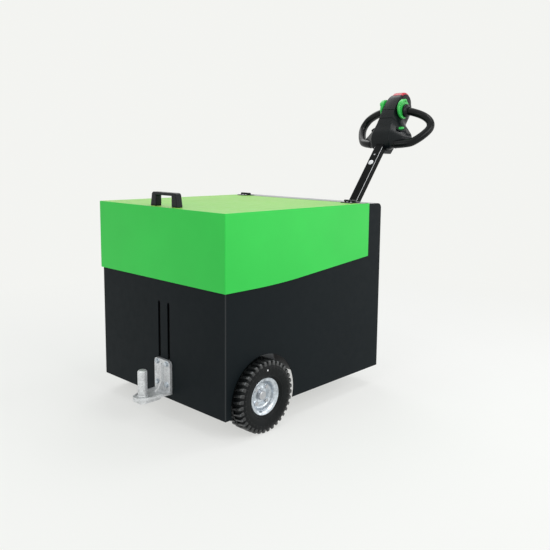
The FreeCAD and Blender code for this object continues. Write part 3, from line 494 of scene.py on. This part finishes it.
def edged(node, slot, material=None, width=0.8, segments=2, angle=28.0):
    """A CAD node with its sharp edges rounded over."""
    mesh = mesh_of(node + "_edged", cleaned(node), 180.0)
    made = piece(node + "_edged", mesh, body(node), material or LOOKS[slot], (node,))
    bevel = made.modifiers.new("bevel", "BEVEL")
    bevel.width = width * MM
    bevel.segments = segments
    bevel.limit_method = "ANGLE"
    bevel.angle_limit = math.radians(angle)
    bevel.use_clamp_overlap = True
    normals = made.modifiers.new("normals", "WEIGHTED_NORMAL")
    normals.keep_sharp = True
    normals.weight = 80
    return made


def carried(node, slot, material=None):
    """A CAD node kept as it is, with its finish."""
    mesh = frame["nodes"][node].data
    mesh.materials.clear()
    mesh.materials.append(material or LOOKS[slot])


X_AXIS = Vector((1, 0, 0))
Y_AXIS = Vector((0, 1, 0))
Z_AXIS = Vector((0, 0, 1))


# ---------------------------------------------------------------- main wheels
TYRE_RADIUS = 127.0
GROOVE_RADIUS = 120.5
LUGS = 36                      # on each half of the tread
TREAD_EDGE = 36.0
LUG_SLANT = 3.2                # degrees that a lug's outer end runs ahead
LUG_EDGE = 1.7


def wheel_centre(side_name):
    low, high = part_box("tyre_" + side_name)
    return (low + high) / 2


def tyre_profile():
    """Carcass from one bead round the tread to the other: (radius, outward y)."""
    half = [
        (52.5, 20.0), (52.5, 26.0), (57.0, 28.4), (64.0, 29.2), (66.5, 31.5), (69.0, 34.4), (72.0, 36.8),
        (74.0, 38.3), (74.8, 39.4), (76.0, 39.5), (76.8, 39.0), (82.0, 40.6), (88.0, 41.6), (95.0, 42.1),
        (100.5, 42.2), (101.6, 42.45), (103.4, 42.45), (104.4, 42.1), (109.0, 41.5), (113.0, 40.4),
        (116.4, 38.8), (118.6, 36.6), (119.8, 33.0), (GROOVE_RADIUS, 26.0), (GROOVE_RADIUS, 4.6),
        (124.8, 4.0), (125.4, 3.0),
    ]
    return half + [(radius, -y) for radius, y in reversed(half)]


def add_lug(bm, centre, side, middle):
    """One slanted tread block, its edges chamfered, running out on the shoulder."""
    # outward y, top radius, radius of the carcass under it, half width, share of the slant
    sections = (
        (5.0, TYRE_RADIUS - 0.2, GROOVE_RADIUS - 0.6, 3.6, 0.0),
        (7.0, TYRE_RADIUS, GROOVE_RADIUS - 0.6, 3.9, 0.06),
        (20.0, TYRE_RADIUS, GROOVE_RADIUS - 0.6, 4.6, 0.45),
        (TREAD_EDGE, TYRE_RADIUS - 0.3, 117.0, 5.4, 0.95),
        (37.6, TYRE_RADIUS - 1.3, 116.0, 5.5, 1.0),
        (39.4, 122.6, 114.0, 5.4, 1.0),
        (40.8, 116.0, 112.0, 4.8, 1.0),
        (41.3, 112.0, 110.6, 4.0, 1.0),
    )
    rings = []
    for y, top, base, half, share in sections:
        turn = middle + math.radians(LUG_SLANT) * share * side
        edge = min(LUG_EDGE, (top - base) / 3)
        ring = []
        for offset, radius in (
            (-half - 0.7, base), (-half, top - edge), (edge - half, top),
            (half - edge, top), (half, top - edge), (half + 0.7, base),
        ):
            angle = turn + offset / radius
            ring.append(centre + Vector((
                math.cos(angle) * radius * MM, side * y * MM, math.sin(angle) * radius * MM,
            )))
        rings.append(ring)
    skin(bm, rings)


def add_lug_highlight(bm, centre, side, middle):
    """Pale line along the outer edge of a tread block: a painted highlight."""
    turn = middle + math.radians(LUG_SLANT) * side
    rings = []
    for offset in (-4.4, 0.0, 4.4):
        angle = turn + offset / TYRE_RADIUS
        out = Vector((math.cos(angle), 0, math.sin(angle)))
        rings.append([centre + out * (radius * MM) + Vector((0, side * y * MM, 0)) for radius, y in (
            (125.6, 37.5), (125.4, 38.0), (124.0, 38.9), (123.4, 38.9), (124.4, 37.2),
        )])
    skin(bm, rings)


def add_tick(bm, centre, side, angle):
    """Short raised mark on the shoulder between two lugs."""
    rings = []
    for radius, y in ((98.6, 42.0), (99.0, 42.4), (106.0, 42.2), (106.4, 41.4)):
        ring = []
        for offset in (-0.7, 0.7):
            turn = angle + offset / radius
            out = Vector((math.cos(turn), 0, math.sin(turn))) * (radius * MM)
            ring.append(centre + out + Vector((0, side * y * MM, 0)))
        rings.append(ring)
    loops = [[bm.verts.new(point) for point in ring] for ring in rings]
    for first, second in zip(loops, loops[1:]):
        bm.faces.new((first[0], first[1], second[1], second[0]))


def make_tyre(side_name, outward):
    centre = wheel_centre(side_name)
    node = "tyre_" + side_name
    rides = body(node)
    bm = bmesh.new()
    lathe(bm, tyre_profile(), centre, Y_AXIS, X_AXIS, 144, closed=True)
    mesh = mesh_of(node + "_carcass", bm, 40.0)
    piece(node + "_carcass", mesh, rides, LOOKS["tyre_rubber"], (node,))
    bm = bmesh.new()
    step = 2 * math.pi / LUGS
    # pale lines on the blocks' outer edges: a painted highlight
    highlight_lines = bmesh.new()
    for k in range(LUGS):
        for side in (-1, 1):
            middle = step * (k + (0.25 if side > 0 else 0.75)) - math.pi / 2
            add_lug(bm, centre, side, middle)
            add_lug_highlight(highlight_lines, centre, side, middle)
            add_tick(bm, centre, side, middle + step / 2)
    piece(node + "_lugs", mesh_of(node + "_lugs", bm, 40.0), rides, TREAD)
    piece(node + "_tread_highlights", mesh_of(node + "_tread_highlights", highlight_lines, 40.0), rides, LUG_HIGHLIGHT)
    bm = bmesh.new()
    place = centre + Vector((0, outward * 42.0 * MM, 95.0 * MM))
    lathe(bm, [(0, 0.5), (2.6, 0.5), (3.0, 0.2), (3.0, -0.6), (0, -0.6)], place, Y_AXIS * outward, X_AXIS, 20)
    piece(node + "_dot", mesh_of(node + "_dot", bm), rides, LABEL)


def make_rim(side_name, outward):
    """Pressed rim with rolled lips, a dished disc and a ring pressed round the cap."""
    centre = wheel_centre(side_name)
    profile = [
        (16.3, 9.0), (21.0, 9.0), (23.0, 10.0), (26.0, 10.0), (28.0, 9.0), (39.5, 9.0), (43.0, 9.8),
        (45.6, 12.0), (47.2, 15.6), (48.6, 20.0), (50.6, 24.6), (54.4, 28.0), (59.4, 29.6), (62.6, 30.6),
        (64.4, 31.0), (65.4, 30.2), (65.5, 28.8), (64.4, 27.9), (59.0, 27.2), (54.8, 25.6), (52.4, 22.4),
        (52.0, 18.0), (52.0, -22.0), (54.4, -26.6), (60.0, -28.0), (64.6, -28.4), (65.5, -29.6),
        (64.8, -30.8), (63.0, -31.0), (56.0, -29.8), (51.4, -26.6), (49.2, -22.0), (49.0, 5.0),
        (46.8, 4.6), (44.0, 5.4), (16.3, 5.0),
    ]
    bm = bmesh.new()
    lathe(bm, profile, centre, Y_AXIS * outward, X_AXIS, 120, closed=True)
    node = "rim_" + side_name
    piece(node + "_pressed", mesh_of(node, bm, 50.0), body(node), LOOKS["zinc"], (node,))


def make_hub(side_name, outward):
    """Four washers in front of the disc, and the CAD hub with its edges rounded over."""
    node = "hub_" + side_name
    edged(node, "zinc", STEEL, 0.7)
    centre = wheel_centre(side_name)
    axis = Y_AXIS * outward
    bm = bmesh.new()
    for k in range(4):
        angle = math.pi * (k + 0.5) / 2
        out = Vector((math.cos(angle), 0, math.sin(angle)))
        place = centre + out * (35.0 * MM) + axis * (9.0 * MM)
        lathe(bm, [(4.0, 0), (9.4, 0), (9.4, 1.2), (8.9, 1.6), (4.0, 1.6)], place, axis, X_AXIS, 28)
    piece(node + "_washers", mesh_of(node, bm), body(node), LOOKS["zinc"])


def make_valve(side_name, outward):
    """Valve stem in the rim's barrel with its dust cap, finished in zinc."""
    centre = wheel_centre(side_name)
    axis = Y_AXIS * outward
    out = Vector((math.cos(-1.9), 0, math.sin(-1.9)))
    place = centre + out * (55.0 * MM) + axis * (26.0 * MM)
    bm = bmesh.new()
    lean = (axis * 0.8 - out * 0.6).normalized()
    lathe(bm, [
        (0, -4), (4.2, -4), (4.2, -1.0), (2.9, 1.0), (2.6, 4.0),
        (3.0, 4.3), (3.0, 9.0), (2.4, 10.0), (0, 10.0),
    ], place, lean, Vector((lean.z, 0, -lean.x)).normalized(), 20)
    rides = body("rim_" + side_name)
    piece("valve_" + side_name, mesh_of("valve", bm), rides, LOOKS["zinc"])


# ---------------------------------------------------------------- tiller
TILT = math.radians(37.8)
PIVOT_X = 904.0
PIVOT_Z = 432.0
ARM_LENGTH = 720.0
ALONG = Vector((math.sin(TILT), 0, math.cos(TILT)))
RISE = Vector((-math.cos(TILT), 0, math.sin(TILT)))

# along from the arm's end, then (half width, rise) of the top edge, the cheek, the flank and the belly
HEAD_SECTIONS = (
    (-14.0, (44.0, -3.0), (50.0, -6.0), (46.0, -12.0), (26.0, -20.0)),
    (-4.0, (48.0, 14.0), (64.0, 2.0), (60.0, -16.0), (34.0, -32.0)),
    (15.0, (52.0, 32.0), (73.0, 10.0), (73.0, -28.0), (40.0, -42.0)),
    (45.0, (49.0, 46.0), (106.0, 4.0), (135.0, -28.0), (60.0, -50.0)),
    (80.0, (43.0, 52.0), (112.0, -12.0), (132.0, -24.0), (60.0, -54.0)),
    (130.0, (38.0, 62.0), (76.0, -28.0), (86.0, -38.0), (50.0, -58.0)),
    (175.0, (36.0, 69.0), (44.0, -16.0), (44.0, -44.0), (38.0, -60.0)),
    (230.0, (35.0, 70.0), (42.0, 5.0), (42.0, -38.0), (36.0, -60.0)),
    (260.0, (32.0, 66.0), (41.0, 8.0), (41.0, -36.0), (35.0, -57.0)),
    (280.0, (28.0, 55.0), (39.0, 8.0), (39.0, -30.0), (33.0, -49.3)),
    (296.0, (22.0, 38.0), (36.0, 4.0), (36.0, -18.0), (26.0, -37.4)),
)
CORNER_ROUNDING = (2.0, 9.0, 6.0, 8.0)
# middle line of the handle's tube, from the upper bar to the lower one: half width, along, rise
LOOP_PATH = (
    (0.0, 211.0, 15.0), (73.0, 209.0, 9.0), (117.0, 204.0, -1.0), (151.0, 197.0, -13.0),
    (176.0, 186.0, -23.0), (192.0, 172.0, -32.0), (200.0, 154.0, -37.0), (200.0, 134.0, -39.0),
    (191.0, 108.0, -37.0), (171.0, 73.0, -32.0), (145.0, 41.0, -25.0), (118.0, 26.0, -17.0),
    (83.0, 16.0, -10.0), (38.0, 11.0, -4.0), (0.0, 10.0, -2.0),
)
LOOP_RADIUS = 19.3
ARM_TOP_RISE = 16.0
STICKER_ALONG = -117.0
ARM_SCREW_ALONG = -70.0
COLLAR_AT = (210.0, 12.0)      # along and rise
THUMB_WHEEL_AT = (208.0, 28.0)
BUTTON_AT = (101.0, 4.0)
BUTTON_TURN = math.radians(42.0)   # from the arm's direction towards the belly
# ovals of the side buttons from the cheek outwards: half length, half width, height
BEZEL_SHAPES = (
    (38, 22, 0.0), (38, 22, 3.4), (36.5, 20.5, 4.6), (30, 14.5, 4.4), (26, 11, 3.2), (25, 10, 0.0),
)
PAD_SHAPES = ((22.5, 8.6, 0.0), (22.5, 8.6, 6.2), (21.3, 7.4, 7.6), (16, 4.5, 8.4))
# along, rise and y of the grip's sleeve joint, and of a point before it that gives its direction
SLEEVE_JOINT = (13.7, -8.0, 73.0)
BEFORE_JOINT = (11.0, -4.0, 38.0)
GROOVES = (124.0, 172.0)       # along, of the two lines that bound the bare strip on the head's top
GROOVE_HALF = 1.1
GROOVE_DEPTH = 2.2


def on_arm(along, rise, y):
    """Place from millimetres: along from the arm's end, rise towards its top side."""
    foot = at(PIVOT_X, y, PIVOT_Z)
    return foot + ALONG * ((ARM_LENGTH + along) * MM) + RISE * (rise * MM)


def through(points, share):
    """Catmull-Rom value between the middle two of four tuples."""
    a, b, c, d = points
    s = share
    return tuple(
        0.5 * (2 * q + (r - p) * s + (2 * p - 5 * q + 4 * r - t) * s * s + (3 * q - p - 3 * r + t) * s ** 3)
        for p, q, r, t in zip(a, b, c, d)
    )


def head_stations():
    """Sections of the head at close steps: along, then four (half width, rise) corners."""
    flat = [(s[0], *[value for corner in s[1:] for value in corner]) for s in HEAD_SECTIONS]
    stations = []
    for i in range(len(flat) - 1):
        run = [flat[max(i - 1, 0)], flat[i], flat[i + 1], flat[min(i + 2, len(flat) - 1)]]
        stations += [through(run, k / 6) for k in range(6)]
    stations.append(flat[-1])
    for mark in [groove + offset for groove in GROOVES for offset in (-1.5, -1.0, 1.0, 1.5)]:
        after = next(i for i, s in enumerate(stations) if s[0] > mark)
        first, second = stations[after - 1], stations[after]
        share = (mark - first[0]) / (second[0] - first[0])
        stations.insert(after, tuple(p + (q - p) * share for p, q in zip(first, second)))
    return stations


def rounded_corner(before, corner, after, radius, steps=4):
    """Points of a rounded corner between two straight sides."""
    one = (before - corner)
    two = (after - corner)
    reach = min(radius, one.length * 0.45, two.length * 0.45)
    start = corner + one.normalized() * reach
    end = corner + two.normalized() * reach
    points = []
    for k in range(steps + 1):
        s = k / steps
        points.append(start * (1 - s) ** 2 + corner * 2 * s * (1 - s) + end * s * s)
    return points


def make_head():
    """Head housing: smooth cheeks, crisp top edges, a bare strip between two grooves, two collars."""
    rings = []
    for station in head_stations():
        along = station[0]
        corners = [(station[1 + 2 * i], station[2 + 2 * i]) for i in range(4)]
        sunk = GROOVE_DEPTH if any(abs(along - groove) < GROOVE_HALF for groove in GROOVES) else 0.0
        corners[0] = (corners[0][0], corners[0][1] - sunk)
        full = [Vector((-half, rise)) for half, rise in corners]
        full += [Vector((half, rise)) for half, rise in reversed(corners)]
        radii = CORNER_ROUNDING + CORNER_ROUNDING[::-1]
        ring = []
        for i, corner in enumerate(full):
            bend = rounded_corner(full[i - 1], corner, full[(i + 1) % 8], radii[i])
            ring += [on_arm(along, point.y, point.x) for point in bend]
        rings.append(ring)
    bm = bmesh.new()
    skin(bm, rings)
    for side in (-1, 1):
        lathe(bm, [
            (18.0, 30.0), (25.0, 30.0), (32.0, 57.0), (34.0, 61.0), (33.6, 65.0), (29.0, 69.0), (23.0, 72.0),
            (20.6, 78.0), (18.0, 78.0),
        ], on_arm(*COLLAR_AT, 0), Y_AXIS * side, ALONG, 48)
    piece("head_shell", mesh_of("head_shell", bm, 50.0), body("head_housing"),
          LOOKS["black_plastic"], ("head_housing",))


def arc_through(first, middle, last, steps):
    """Points of the circular arc through three plane points."""
    a, b, c = (Vector(point) for point in (first, middle, last))
    span = 2 * (a.x * (b.y - c.y) + b.x * (c.y - a.y) + c.x * (a.y - b.y))
    squares = (a.length_squared, b.length_squared, c.length_squared)
    centre = Vector((
        (squares[0] * (b.y - c.y) + squares[1] * (c.y - a.y) + squares[2] * (a.y - b.y)) / span,
        (squares[0] * (c.x - b.x) + squares[1] * (a.x - c.x) + squares[2] * (b.x - a.x)) / span,
    ))
    start = math.atan2(a.y - centre.y, a.x - centre.x)
    end = math.atan2(c.y - centre.y, c.x - centre.x)
    radius = (a - centre).length
    return centre, radius, [start + (end - start) * k / steps for k in range(steps + 1)]


def make_thumb_wheel(side_name, outward):
    """Round thumb control with a raised wing on its top side."""
    node = "thumb_wheel_" + side_name
    centre = on_arm(*THUMB_WHEEL_AT, 0)
    axis = Y_AXIS * outward
    bm = bmesh.new()
    lathe(bm, [
        (0, 45.6), (46.0, 45.6), (47.6, 46.8), (48.0, 48.5), (48.0, 53.0), (47.0, 55.8), (44.5, 57.3),
        (40.0, 57.8), (36.0, 56.6), (30.0, 56.2), (0, 56.2),
    ], centre, axis, ALONG, 96)
    rings = []
    for k in range(25):
        angle = math.radians(15.0 + 90.0 * k / 24)
        out = ALONG * math.cos(angle) + RISE * math.sin(angle)
        swell = math.sin(math.pi * min(max(k / 24, 0.06), 0.94))
        top = 57.0 + 8.6 * min(1.0, 2.2 * swell)
        rings.append([centre + out * (r * MM) + axis * (y * MM) for r, y in (
            (39.0, 50.0), (39.0, top - 2.0), (41.0, top), (47.0, top), (49.4, top - 2.4), (49.6, 50.0),
        )])
    skin(bm, rings)
    piece(node + "_winged", mesh_of(node, bm, 42.0), body(node),
          LOOKS["green_plastic"], (node,))


def make_cap_cheeks():
    """Black side plates that hold the red cap between them."""
    centre, radius, turns = arc_through((264.0, 54.0), (308.5, 8.0), (276.0, -36.0), 24)
    bm = bmesh.new()
    for side in (-1, 1):
        rings = []
        for y, inset in ((29.0, 0.0), (33.5, 0.0), (35.5, 1.2), (36.5, 4.0)):
            arc = [centre + Vector((math.cos(t), math.sin(t))) * (radius - inset) for t in turns]
            arc += [Vector((262.0, -32.0)), Vector((256.0, 8.0)), Vector((256.0, 50.0))]
            rings.append([on_arm(point.x, point.y, side * y) for point in arc])
        skin(bm, rings)
    piece("cap_cheeks", mesh_of("cap_cheeks", bm, 40.0), body("head_housing"),
          LOOKS["black_plastic"])


def make_side_buttons():
    """Oval rocker buttons on the cheeks, each in a dark dished surround."""
    pads = bmesh.new()
    bezels = bmesh.new()
    for side in (-1, 1):
        near = HEAD_SECTIONS[4]
        far = HEAD_SECTIONS[5]
        a = on_arm(near[0], near[1][1], side * near[1][0])
        b = on_arm(near[0], near[2][1], side * near[2][0])
        c = on_arm(far[0], far[2][1], side * far[2][0])
        out = (b - a).cross(c - a).normalized()
        if out.y * side < 0:
            out = -out
        middle = on_arm(*BUTTON_AT, 0)
        share = (a - middle).dot(out) / (Y_AXIS * side).dot(out)
        middle = middle + Y_AXIS * side * share
        long_axis = ALONG * math.cos(BUTTON_TURN) - RISE * math.sin(BUTTON_TURN)
        long_axis = (long_axis - out * long_axis.dot(out)).normalized()
        short_axis = out.cross(long_axis)
        for bm, shapes in ((bezels, BEZEL_SHAPES), (pads, PAD_SHAPES)):
            rings = []
            for long, short, height in shapes:
                ring = []
                for k in range(40):
                    angle = 2 * math.pi * k / 40
                    flat = long_axis * (math.cos(angle) * long) + short_axis * (math.sin(angle) * short)
                    ring.append(middle + (flat + out * height) * MM)
                rings.append(ring)
            skin(bm, rings)
    rides = body("side_buttons")
    piece("button_surrounds", mesh_of("button_surrounds", bezels), rides,
          LOOKS["black_plastic"])
    piece("button_pads", mesh_of("button_pads", pads), rides,
          LOOKS["green_plastic"], ("side_buttons",))


def make_handle():
    """Closed ring handle: a soft grip with the joints of its sleeves."""
    half = list(LOOP_PATH)
    points = half + [(-y, along, rise) for y, along, rise in reversed(half[1:-1])]
    count = len(points)
    line = []
    for i in range(count):
        run = [points[(i + k) % count] for k in (-1, 0, 1, 2)]
        line += [through(run, k / 8) for k in range(8)]
    rings = []
    total = len(line)
    for i, (y, along, rise) in enumerate(line):
        here = on_arm(along, rise, y)
        ahead = line[(i + 1) % total]
        back = line[i - 1]
        direction = (on_arm(ahead[1], ahead[2], ahead[0]) - on_arm(back[1], back[2], back[0])).normalized()
        side = direction.cross(RISE).normalized()
        other = side.cross(direction)
        ring = []
        for k in range(28):
            angle = 2 * math.pi * k / 28
            ring.append(here + (side * math.cos(angle) + other * math.sin(angle)) * (LOOP_RADIUS * MM))
        rings.append(ring)
    bm = bmesh.new()
    skin(bm, rings, wrap=True)
    piece("handle_ring", mesh_of("handle_ring", bm, 60.0), body("handle_loop_left"),
          LOOKS["grip"], ("handle_loop_left", "handle_loop_right"))
    bm = bmesh.new()
    for side in (-1, 1):
        here, before = (on_arm(along, rise, side * y) for along, rise, y in (SLEEVE_JOINT, BEFORE_JOINT))
        direction = (here - before).normalized()
        lathe(bm, [(19.0, -1.6), (20.3, -1.2), (20.3, 1.2), (19.0, 1.6)], here, direction, RISE, 40)
    piece("sleeve_rings", mesh_of("sleeve_rings", bm), body("handle_loop_left"),
          LOOKS["seal_rubber"])


def make_arm_details():
    """Bare round sticker, pale strips along the top edges that are a painted highlight, and a screw on the
    arm.
    """
    bm = bmesh.new()
    lathe(bm, [(0, 0.35), (13.1, 0.35), (13.5, 0.1), (13.5, -0.5), (0, -0.5)],
          on_arm(STICKER_ALONG, ARM_TOP_RISE, 0.5), RISE, ALONG, 48)
    piece("arm_sticker", mesh_of("arm_sticker", bm), body("tiller_arm"), LABEL)
    # pale strips along both top edges of the arm: a painted highlight
    bm = bmesh.new()
    for side in (-1, 1):
        rings = []
        for along in (-700.0, -400.0, -20.0):
            rings.append([on_arm(along, rise, side * y) for y, rise in (
                (21.2, 15.25), (22.4, 15.1), (23.1, 14.4), (23.2, 13.4), (22.0, 13.2),
            )])
        skin(bm, rings)
    piece("arm_highlight_strips", mesh_of("arm_highlight_strips", bm), body("tiller_arm"), PAINTED_EDGE_HIGHLIGHT)
    bm = bmesh.new()
    socket_screw(bm, on_arm(ARM_SCREW_ALONG, ARM_TOP_RISE, 0.0), RISE, ALONG, 4.5, 2.6)
    piece("arm_screws", mesh_of("arm_screws", bm), body("tiller_arm"), STEEL)


# ---------------------------------------------------------------- hood and hitch details
HINGE_LINE_X = 713.0
HINGE_OFFSET_Y = 303.0
HINGE_LEAF_TOP = 765.0
HINGE_SCREW_X = 18.0           # from the hinge line
HITCH_BOLT_Y = (-56.0, -2.0)
HITCH_BOLT_Z = (132.0, 208.0)
SHROUD_Z = (236.0, 440.0)


def make_hinge_screws():
    for node, direction in (("hinge_moving", -1), ("hinge_fixed", 1)):
        bm = bmesh.new()
        for side in (-1, 1):
            for y in (-18.0, 0.0, 18.0):
                x = HINGE_LINE_X + direction * HINGE_SCREW_X
                place = at(x, side * HINGE_OFFSET_Y + y, HINGE_LEAF_TOP)
                socket_screw(bm, place, Z_AXIS, X_AXIS, 4.2, 1.8)
        piece(node + "_screws", mesh_of(node, bm), body(node), STEEL)


def make_hitch_washers():
    bm = bmesh.new()
    for y in HITCH_BOLT_Y:
        for z in HITCH_BOLT_Z:
            lathe(bm, [(4.0, 0), (10.5, 0), (10.5, 1.3), (10.0, 1.7), (4.0, 1.7)],
                  at(-3.0, y, z), -X_AXIS, Z_AXIS, 32)
    piece("hitch_washers", mesh_of("hitch_washers", bm), body("hitch_bracket"), LOOKS["zinc"])


def make_corner_highlights():
    """Rounded strips on the upright corners of the hitch panel, coloured lighter than its paint: a painted
    highlight.
    """
    low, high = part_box("hitch_panel")
    bm = bmesh.new()
    for y, inward in ((low.y, 1), (high.y, -1)):
        rings = []
        for z in (low.z + 0.003, high.z - 0.003):
            rings.append([Vector((low.x + a * MM, y + inward * b * MM, z)) for a, b in (
                (-0.15, 2.2), (-0.15, 1.0), (0.2, 0.2), (1.0, -0.15), (2.6, -0.15), (1.6, 1.6),
            )])
        skin(bm, rings)
    piece("corner_highlight_strips", mesh_of("corner_highlight_strips", bm), body("hitch_panel"), PAINTED_CORNER_HIGHLIGHT)


def make_slot_shroud():
    """Black channel behind the slots, above the bracket's nuts."""
    bm = bmesh.new()
    outline = (
        (10.4, -92.0), (10.4, -74.0), (19.0, -70.0), (19.0, 12.0), (10.4, 16.0), (10.4, 34.0),
        (12.0, 34.0), (12.0, 17.0), (20.5, 13.4), (20.5, -71.4), (12.0, -75.0), (12.0, -92.0),
    )
    skin(bm, [[at(x, y, z) for x, y in outline] for z in SHROUD_Z])
    piece("slot_shroud", mesh_of("slot_shroud", bm), body("hitch_panel"), LOOKS["seal_rubber"])


# ---------------------------------------------------------------- inside
def make_battery():
    """Battery: a ribbed case under rows of cells with vent caps, and its two posts."""
    low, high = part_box("battery")
    edged("battery", "black_plastic", CELL_LID, 6.0, 3)
    rides = body("battery")
    rows = 3
    columns = 4
    gap = 0.006
    lids = bmesh.new()
    caps = bmesh.new()
    for i in range(rows):
        for j in range(columns):
            x = low.x + (high.x - low.x) * (i + 0.5) / rows
            y = low.y + (high.y - low.y) * (j + 0.5) / columns
            half_x = (high.x - low.x) / rows / 2 - gap
            half_y = (high.y - low.y) / columns / 2 - gap
            rings = []
            for inset, z in ((0, -0.001), (0, 0.003), (0.003, 0.0055)):
                a = half_x - inset
                b = half_y - inset
                rings.append([
                    Vector((x + p, y + q, high.z + z)) for p, q in ((-a, -b), (a, -b), (a, b), (-a, b))
                ])
            skin(lids, rings)
            place = Vector((x, y, high.z + 0.004))
            lathe(caps, [(0, 9), (10, 9), (12, 7), (12, 0)], place, Z_AXIS, X_AXIS, 24)
    piece("battery_lids", mesh_of("battery_lids", lids), rides, LOOKS["black_plastic"])
    piece("battery_caps", mesh_of("battery_caps", caps), rides, LOOKS["red_plastic"])
    posts = bmesh.new()
    for x_share in (0.1, 0.9):
        place = Vector((low.x + (high.x - low.x) * x_share, low.y + 0.03, high.z + 0.003))
        lathe(posts, [(0, 22), (8, 22), (9, 20), (10, 2), (14, 2), (14, 0)], place, Z_AXIS, X_AXIS, 24)
    piece("battery_posts", mesh_of("battery_posts", posts), rides, LEAD)


def make_motor():
    """Drive motor: flanges, a waisted case with fins, and its terminals on top."""
    low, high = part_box("drive_motor")
    centre = Vector(((low.x + high.x) / 2, (low.y + high.y) / 2, low.z))
    radius = (high.x - low.x) / 2 / MM
    height = (high.z - low.z) / MM
    profile = [(0, 0), (radius, 0), (radius, 9), (radius - 1, 10), (radius - 5, 10), (radius - 5, 14)]
    z = 18.0
    while z < height - 44:
        profile += [(radius - 5, z), (radius - 1.5, z + 1), (radius - 1.5, z + 4), (radius - 5, z + 5)]
        z += 9.0
    profile += [
        (radius - 5, height - 34), (radius, height - 33), (radius, height - 14), (radius - 3, height - 10),
        (radius - 12, height - 10), (radius - 14, height - 8), (0, height - 8),
    ]
    bm = bmesh.new()
    lathe(bm, profile, centre, Z_AXIS, X_AXIS, 96)
    piece("motor_case", mesh_of("motor_case", bm), body("drive_motor"),
          LOOKS["motor_paint"], ("drive_motor",))
    bm = bmesh.new()
    for k in range(3):
        angle = 2 * math.pi * k / 3 + 0.5
        place = centre + Vector((math.cos(angle), math.sin(angle), 0)) * (26 * MM)
        place.z = high.z - 0.008
        hexagon_head(bm, place, Z_AXIS, X_AXIS, 10.0, 4.0)
        lathe(bm, [(0, 7.5), (2.4, 7.5), (3, 7), (3, 0)], place, Z_AXIS, X_AXIS, 16)
    for k in range(4):
        angle = 2 * math.pi * (k + 0.5) / 4
        place = centre + Vector((math.cos(angle), math.sin(angle), 0)) * ((radius - 6) * MM)
        place.z = high.z - 0.0115
        socket_screw(bm, place, Z_AXIS, X_AXIS, 4.0, 3.0)
    piece("motor_terminals", mesh_of("motor_terminals", bm), body("drive_motor"), STEEL)


# ---------------------------------------------------------------- the scene
make_camera()
make_stage()
make_world()
for lamp in LAMPS:
    make_light(*lamp)
bpy.context.scene.view_settings.view_transform = "Standard"

for side_name, outward in (("right", -1), ("left", 1)):
    make_tyre(side_name, outward)
    make_rim(side_name, outward)
    make_hub(side_name, outward)
    make_valve(side_name, outward)
    edged("side_panel_" + side_name, "body_paint", width=0.7)
    make_thumb_wheel(side_name, outward)

edged("hood", "hood_paint", width=0.5)
for node in ("hitch_panel", "tiller_panel"):
    edged(node, "body_paint", width=0.7)
for node in ("console", "hinge_rail"):
    edged(node, "body_paint", HAZED_BLACK, 0.7)
edged("hood_handle", "black_plastic", width=3.6, segments=4)
edged("hinge_fixed", "black_plastic", width=0.6)
edged("hinge_moving", "black_plastic", width=0.6)
edged("hood_seal", "seal_rubber", width=1.5)
edged("hitch_bracket", "galvanised", width=2.2, segments=3, angle=22.0)
edged("tow_pin", "galvanised", width=1.2, segments=3)
edged("hitch_bolts", "zinc", width=0.9)
edged("head_bracket", "black_plastic", width=2.0, segments=3)
edged("tiller_arm", "body_paint", SMOOTH_BLACK, 0.6)
carried("belly_button", "red_plastic")
for node in ("rails", "deck", "drive_bay", "mount_plate"):
    edged(node, "body_paint", width=0.8)
edged("axle", "unit_steel", width=1.2)
edged("steer_bearing", "unit_steel", STEEL, width=1.0)
edged("yoke", "unit_steel", width=1.6)
edged("turntable", "unit_steel", width=1.2)
edged("drive_gearbox", "cast_case", width=2.0, segments=3)
edged("drive_axle", "zinc", STEEL, width=0.8)
edged("pivot_pin", "zinc", STEEL, width=1.0)
edged("drive_tyre", "drive_tread", width=5.0, segments=3)
edged("drive_hub", "cast_case", width=1.5)
make_head()
make_cap_cheeks()
make_side_buttons()
make_handle()
make_arm_details()
make_hinge_screws()
make_hitch_washers()
make_corner_highlights()
make_slot_shroud()
make_battery()
make_motor()
